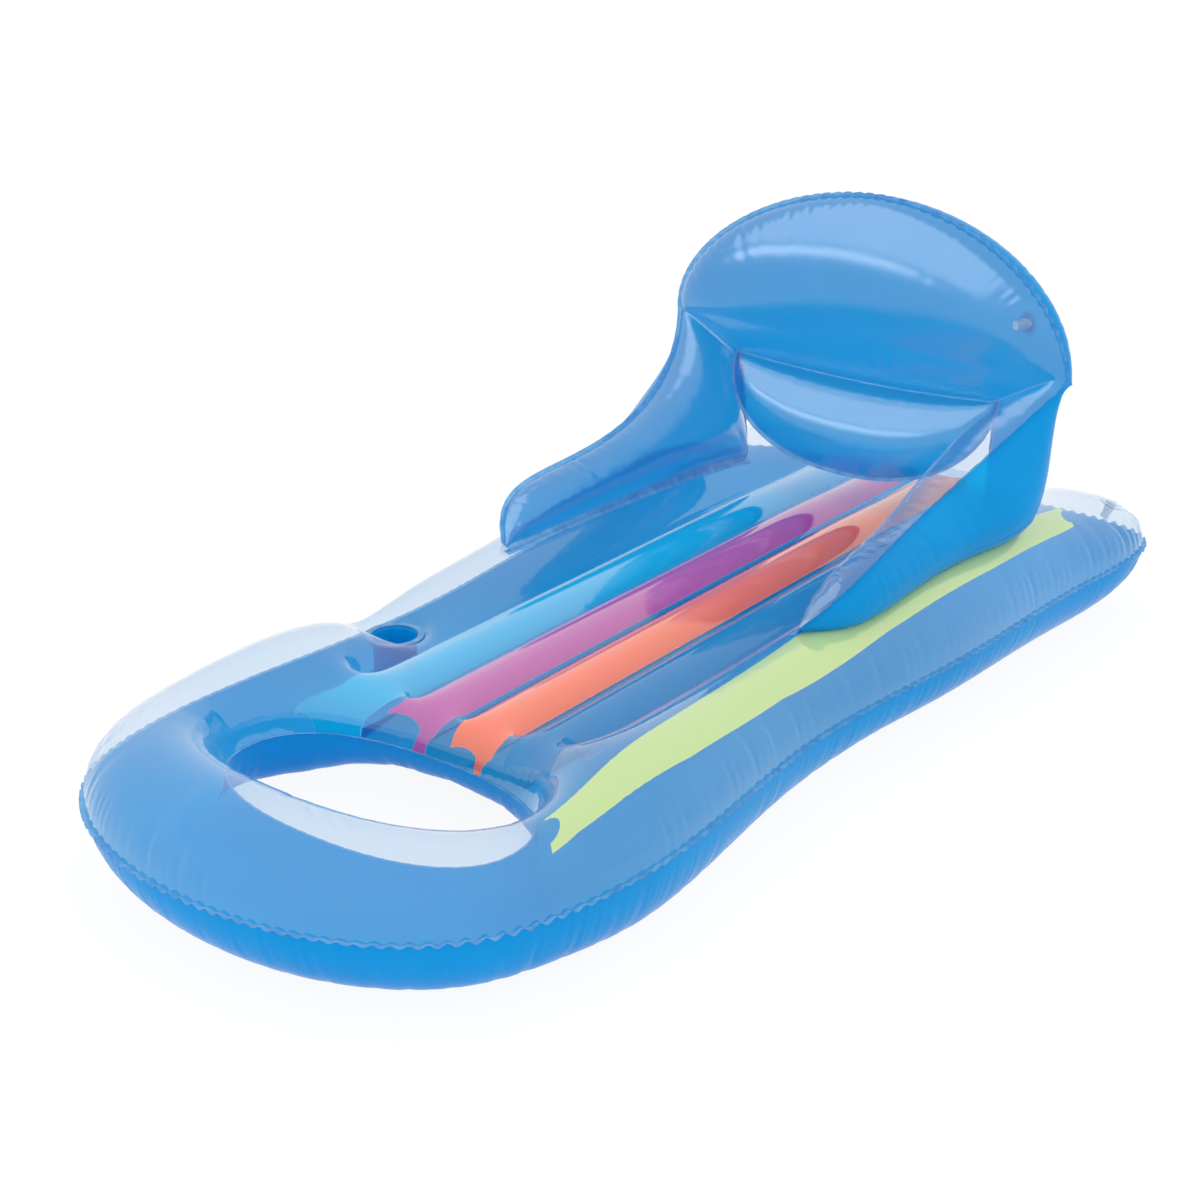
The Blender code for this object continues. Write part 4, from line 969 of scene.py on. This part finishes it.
back_loops = edge_loops(backrest_faces)
rim_numbers = [n for loop in back_loops for n in loop]
neck_points = headrest_lift(neck_line)
crease_points = np.vstack([headrest_lift(crease_line * (side, 1))[1:-1] for side in (1, -1)])
pinned = {}
for line, half_thickness in ((crease_points, crease_half_thickness), (neck_points, 0.0)):
    on_line = np.where(nearest(backrest_points, line)[0] < 1e-5)[0]
    pinned.update({n: half_thickness for n in on_line.tolist()})
pinned.update({n: 0.0 for n in rim_numbers})
backrest_rise = blow_up(backrest_points, backrest_faces, pinned)


def smoothed(values, faces, rounds):
    """Values averaged with their neighbours', round after round."""
    here, there = faces.T.ravel(), faces[:, [1, 2, 0]].T.ravel()
    here, there = np.concatenate([here, there]), np.concatenate([there, here])
    number = np.bincount(here, minlength=len(values))[:, None]
    for _ in range(rounds):
        around = np.stack([np.bincount(here, column[there], len(values)) for column in values.T], axis=1)
        values = (values + around / number) / 2
    return values


across = unit(smoothed(normals_of(backrest_points, backrest_faces), backrest_faces, facing_rounds))
back_x, back_y, back_z = backrest_points.T
in_arm = ramp(back_y - shoulder[1], arm_from, arm_to)
in_arm *= ramp(np.abs(back_x), arm_side_from, arm_side_to)
in_arm *= back_z < shoulder[2]
arm_share = smoothed(in_arm[:, None], backrest_faces, arm_share_rounds)[:, 0]
backrest_rise *= backrest_fullness + (arm_fullness - backrest_fullness) * arm_share

rim_line = backrest_points[rim_numbers]
from_rim, rim_number = nearest(backrest_points, np.vstack([rim_line, neck_points]))
back_turns = [np.arange(len(line)) / len(line) for line in (rim_line, neck_points)]
back_lengths = [len(line) * weld_pitch for line in (rim_line, neck_points)]
# The scallops are strong along the top of the headrest and fade down the arms
rim_flutter = ripples(back_turns[0], back_lengths[0] / flutter_pitch, np.random.default_rng(23))
rim_flutter *= np.interp(rim_line[:, 2], rim_flutter_heights, rim_flutter_range)
back_flutter = np.concatenate([rim_flutter, np.zeros(len(neck_points))])
back_slack = np.concatenate([np.interp(rim_line[:, 1], rim_slack_places, rim_slack_range),
                             np.full(len(neck_points), neck_slack)])


def back_film(side):
    """One film of the backrest, 1 for the clear front film and -1 for the blue back film. Its
    arms stay above the float's top film, where they lie on it."""
    bulge = arm_outer_bulge * arm_share if side < 0 else 0
    points = backrest_points + side * across * (film_gap / 2 + backrest_rise * (1 + bulge))[:, None]
    sink = fold_sink(41 + side, back_turns, back_lengths, back_slack, from_rim, rim_number)
    points += side * normals_of(points, backrest_faces) * sink
    points += across * weld_wave(back_flutter[rim_number], from_rim)[:, None]
    low = np.where((points[:, 2] < arm_top) & (np.abs(points[:, 0]) < half_width))[0]
    number = nearest(points[low, :2], top_points[:, :2])[1]
    points[low, 2] = np.maximum(points[low, 2], top_points[number, 2] + arm_clearance)
    return points


front_points = back_film(1)
backrest_seat = valve_seat("backrest_valve", "backrest_valve_stem_slide")
rear_points = seat_film(back_film(-1), backrest_seat, 1)
rear_centres = rear_points[backrest_faces].mean(1)
rear_faces = backrest_faces[np.linalg.norm(rear_centres - backrest_seat[0], axis=1) > valve_bore]

# Clear PVC film without print: each skin mirrors a little of the bright room, and more the
# flatter it is looked at
clear_film = soft_pvc("clear PVC film", 71.4 * MM, ("E6F1FB", "F6FBFF"), 0.2, clear_passing, veil,
                      dents=clear_dents, finish={"Metallic": 0.85})

backrest_rear = make_piece("backrest_rear", rear_points, rear_faces[:, ::-1], blue_film,
                           ["backrest_back_film"])
backrest_front = make_piece("backrest_front", front_points, backrest_faces, clear_film,
                            ["backrest_front_film"])

first = 0
for number, loop in enumerate(back_loops):
    line = backrest_points[loop]
    away = unit(np.cross(np.roll(line, -1, axis=0) - np.roll(line, 1, axis=0), across[loop]))
    flutter = rim_flutter[first:first + len(loop)]
    first += len(loop)
    for _, _, landing in arms:
        near, which = nearest(line, landing)
        seated = near < weld_edge * 1.1
        away[seated] = (landing[which] - line)[seated] / outer_flange
        flutter = np.where(seated, 0, flutter)
    weld_flange("backrest_weld_%d" % (number + 1), line, away, across[loop], flutter, outer_flange)

# Arm weld strips
# A strip of PVC film under the foot of each arm, welded to the arm's edge and to the float's
# top film.

strip_thickness = 0.5 * MM
strip_gap = 0.4 * MM

for side_name in ("left", "right"):
    band = float_layout.groups["arm_band_" + side_name]
    make_piece("arm_strip_" + side_name, top_points[band] + top_normals[band] * (strip_gap + strip_thickness),
               grid_faces(3, arm_band_steps + 1), welded_pvc, ["arm_weld_strip_" + side_name])

# Valves
# Moulded soft PVC: a base disc welded to the film, a stem that is pushed in flush, its plug on a
# strap and the check flap at its inner end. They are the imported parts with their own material.

# Injection moulded soft PVC: nearly clear, with a satin skin
valve_pvc = soft_pvc("moulded soft PVC", 11.1 * MM, ("ECF5FC", "FAFDFF"), 0.28, "F4FAFE", 0.45,
                     finish={"IOR": 1.52})

for valve in ("mattress_valve", "backrest_valve"):
    for part in ("", "_stem", "_plug", "_flap"):
        node = frame["nodes"][valve + part]
        for slot in node.material_slots:
            slot.material = valve_pvc

# Studio
# A plain white floor, a soft white surround and two large soft lamps. The camera stands where
# the photograph was taken.

camera_turn, camera_rise = 37.233, 22.845
camera_distance = 2.36
camera_target = Vector((-0.007, -0.088, 0.1787))
frame_pixels = 1200
focal_pixels = 2022
floor_half = 12.0
lamp_target = Vector((0, 0.3, 0.25))
lamp_distance = 3.0


def hang(name, data, turn, rise, target, distance):
    """A camera or lamp that looks at its target from this turn and rise, in degrees."""
    turn, rise = math.radians(turn), math.radians(rise)
    toward = Vector((math.sin(turn) * math.cos(rise), -math.cos(turn) * math.cos(rise), math.sin(rise)))
    thing = bpy.data.objects.new(name, data)
    bpy.context.scene.collection.objects.link(thing)
    thing.location = target + toward * distance
    thing.rotation_mode = "QUATERNION"
    thing.rotation_quaternion = (-toward).to_track_quat("-Z", "Y")
    return thing


camera = bpy.data.cameras.new("camera")
camera = hang("camera", camera, camera_turn, camera_rise, camera_target, camera_distance)
camera.data.sensor_width = 36
camera.data.lens = focal_pixels / frame_pixels * camera.data.sensor_width
camera.data.clip_end = 100
bpy.context.scene.camera = camera

floor_mesh = bpy.data.meshes.new("studio_floor")
corners = [(x * floor_half, y * floor_half, 0) for x, y in ((-1, -1), (1, -1), (1, 1), (-1, 1))]
floor_mesh.from_pydata(corners, [], [(0, 1, 2, 3)])
floor = bpy.data.objects.new("studio_floor", floor_mesh)
bpy.context.scene.collection.objects.link(floor)

# Matt white paper, which camera, gloss and clear film see as plain white, but for a little of
# its own shade close to the object
paper, tree = new_material("white studio paper")
seen = add_node(tree, "LightPath").outputs
direct = add_node(tree, "Math", {0: seen["Is Camera Ray"], 1: seen["Is Glossy Ray"]}, operation="MAXIMUM")
direct = add_node(tree, "Math", {0: direct, 1: seen["Is Transmission Ray"]}, operation="MAXIMUM")
away = add_node(tree, "VectorMath", {0: add_node(tree, "TexCoord").outputs["Object"]}, operation="LENGTH")
fade = add_node(tree, "MapRange", {"Value": away.outputs["Value"], "From Min": 0.7, "From Max": 2.0,
                                   "To Min": 0.9, "To Max": 1.0})
share = add_node(tree, "Math", {0: direct, 1: fade}, operation="MULTIPLY")
matt = add_node(tree, "BsdfDiffuse", {"Color": linear("FAFAFA")})
glow = add_node(tree, "Emission", {"Color": linear("FFFFFF"), "Strength": 1.02})
sheet = add_node(tree, "MixShader", {0: share, 1: matt, 2: glow})
add_node(tree, "OutputMaterial", {"Surface": sheet})
floor_mesh.materials.append(paper)

world = bpy.data.worlds.new("soft surround")
bpy.context.scene.world = world
world.use_nodes = True
world.node_tree.nodes.clear()
tree = world.node_tree
split = add_node(tree, "SeparateXYZ", {"Vector": add_node(tree, "TexCoord").outputs["Generated"]})
height = add_node(tree, "MapRange", {"Value": split.outputs["Z"], "From Min": 0.0, "From Max": 0.8,
                                     "To Min": 1.0, "To Max": 1.15})
plain = add_node(tree, "Background", {"Color": linear("FFFFFF"), "Strength": height})
white = add_node(tree, "Background", {"Color": linear("FFFFFF"), "Strength": 1.0})
seen = add_node(tree, "LightPath").outputs
sky = add_node(tree, "MixShader", {0: seen["Is Camera Ray"], 1: plain, 2: white})
add_node(tree, "OutputWorld", {"Surface": sky})

# Softboxes: (name, turn and rise of the direction they hang in, size, radiance). They are aimed at
# the backrest, so only its glossy front film sees them; the room's own light is soft and even.
lit = bpy.data.collections.new("lit by the softboxes")
lit.objects.link(backrest_front)
for name, turn, rise, size, radiance in (("upper_softbox", -38, 58, (4.4, 3.6), 1.9),
                                         ("front_softbox", -40, 20, (2.2, 0.4), 4.5)):
    data = bpy.data.lights.new(name, "AREA")
    data.shape = "RECTANGLE"
    data.size, data.size_y = size
    data.energy = radiance * math.pi * size[0] * size[1]
    lamp = hang(name, data, turn, rise, lamp_target, lamp_distance)
    lamp.visible_diffuse = False
    lamp.light_linking.receiver_collection = lit

bpy.context.scene.view_settings.view_transform = "Standard"
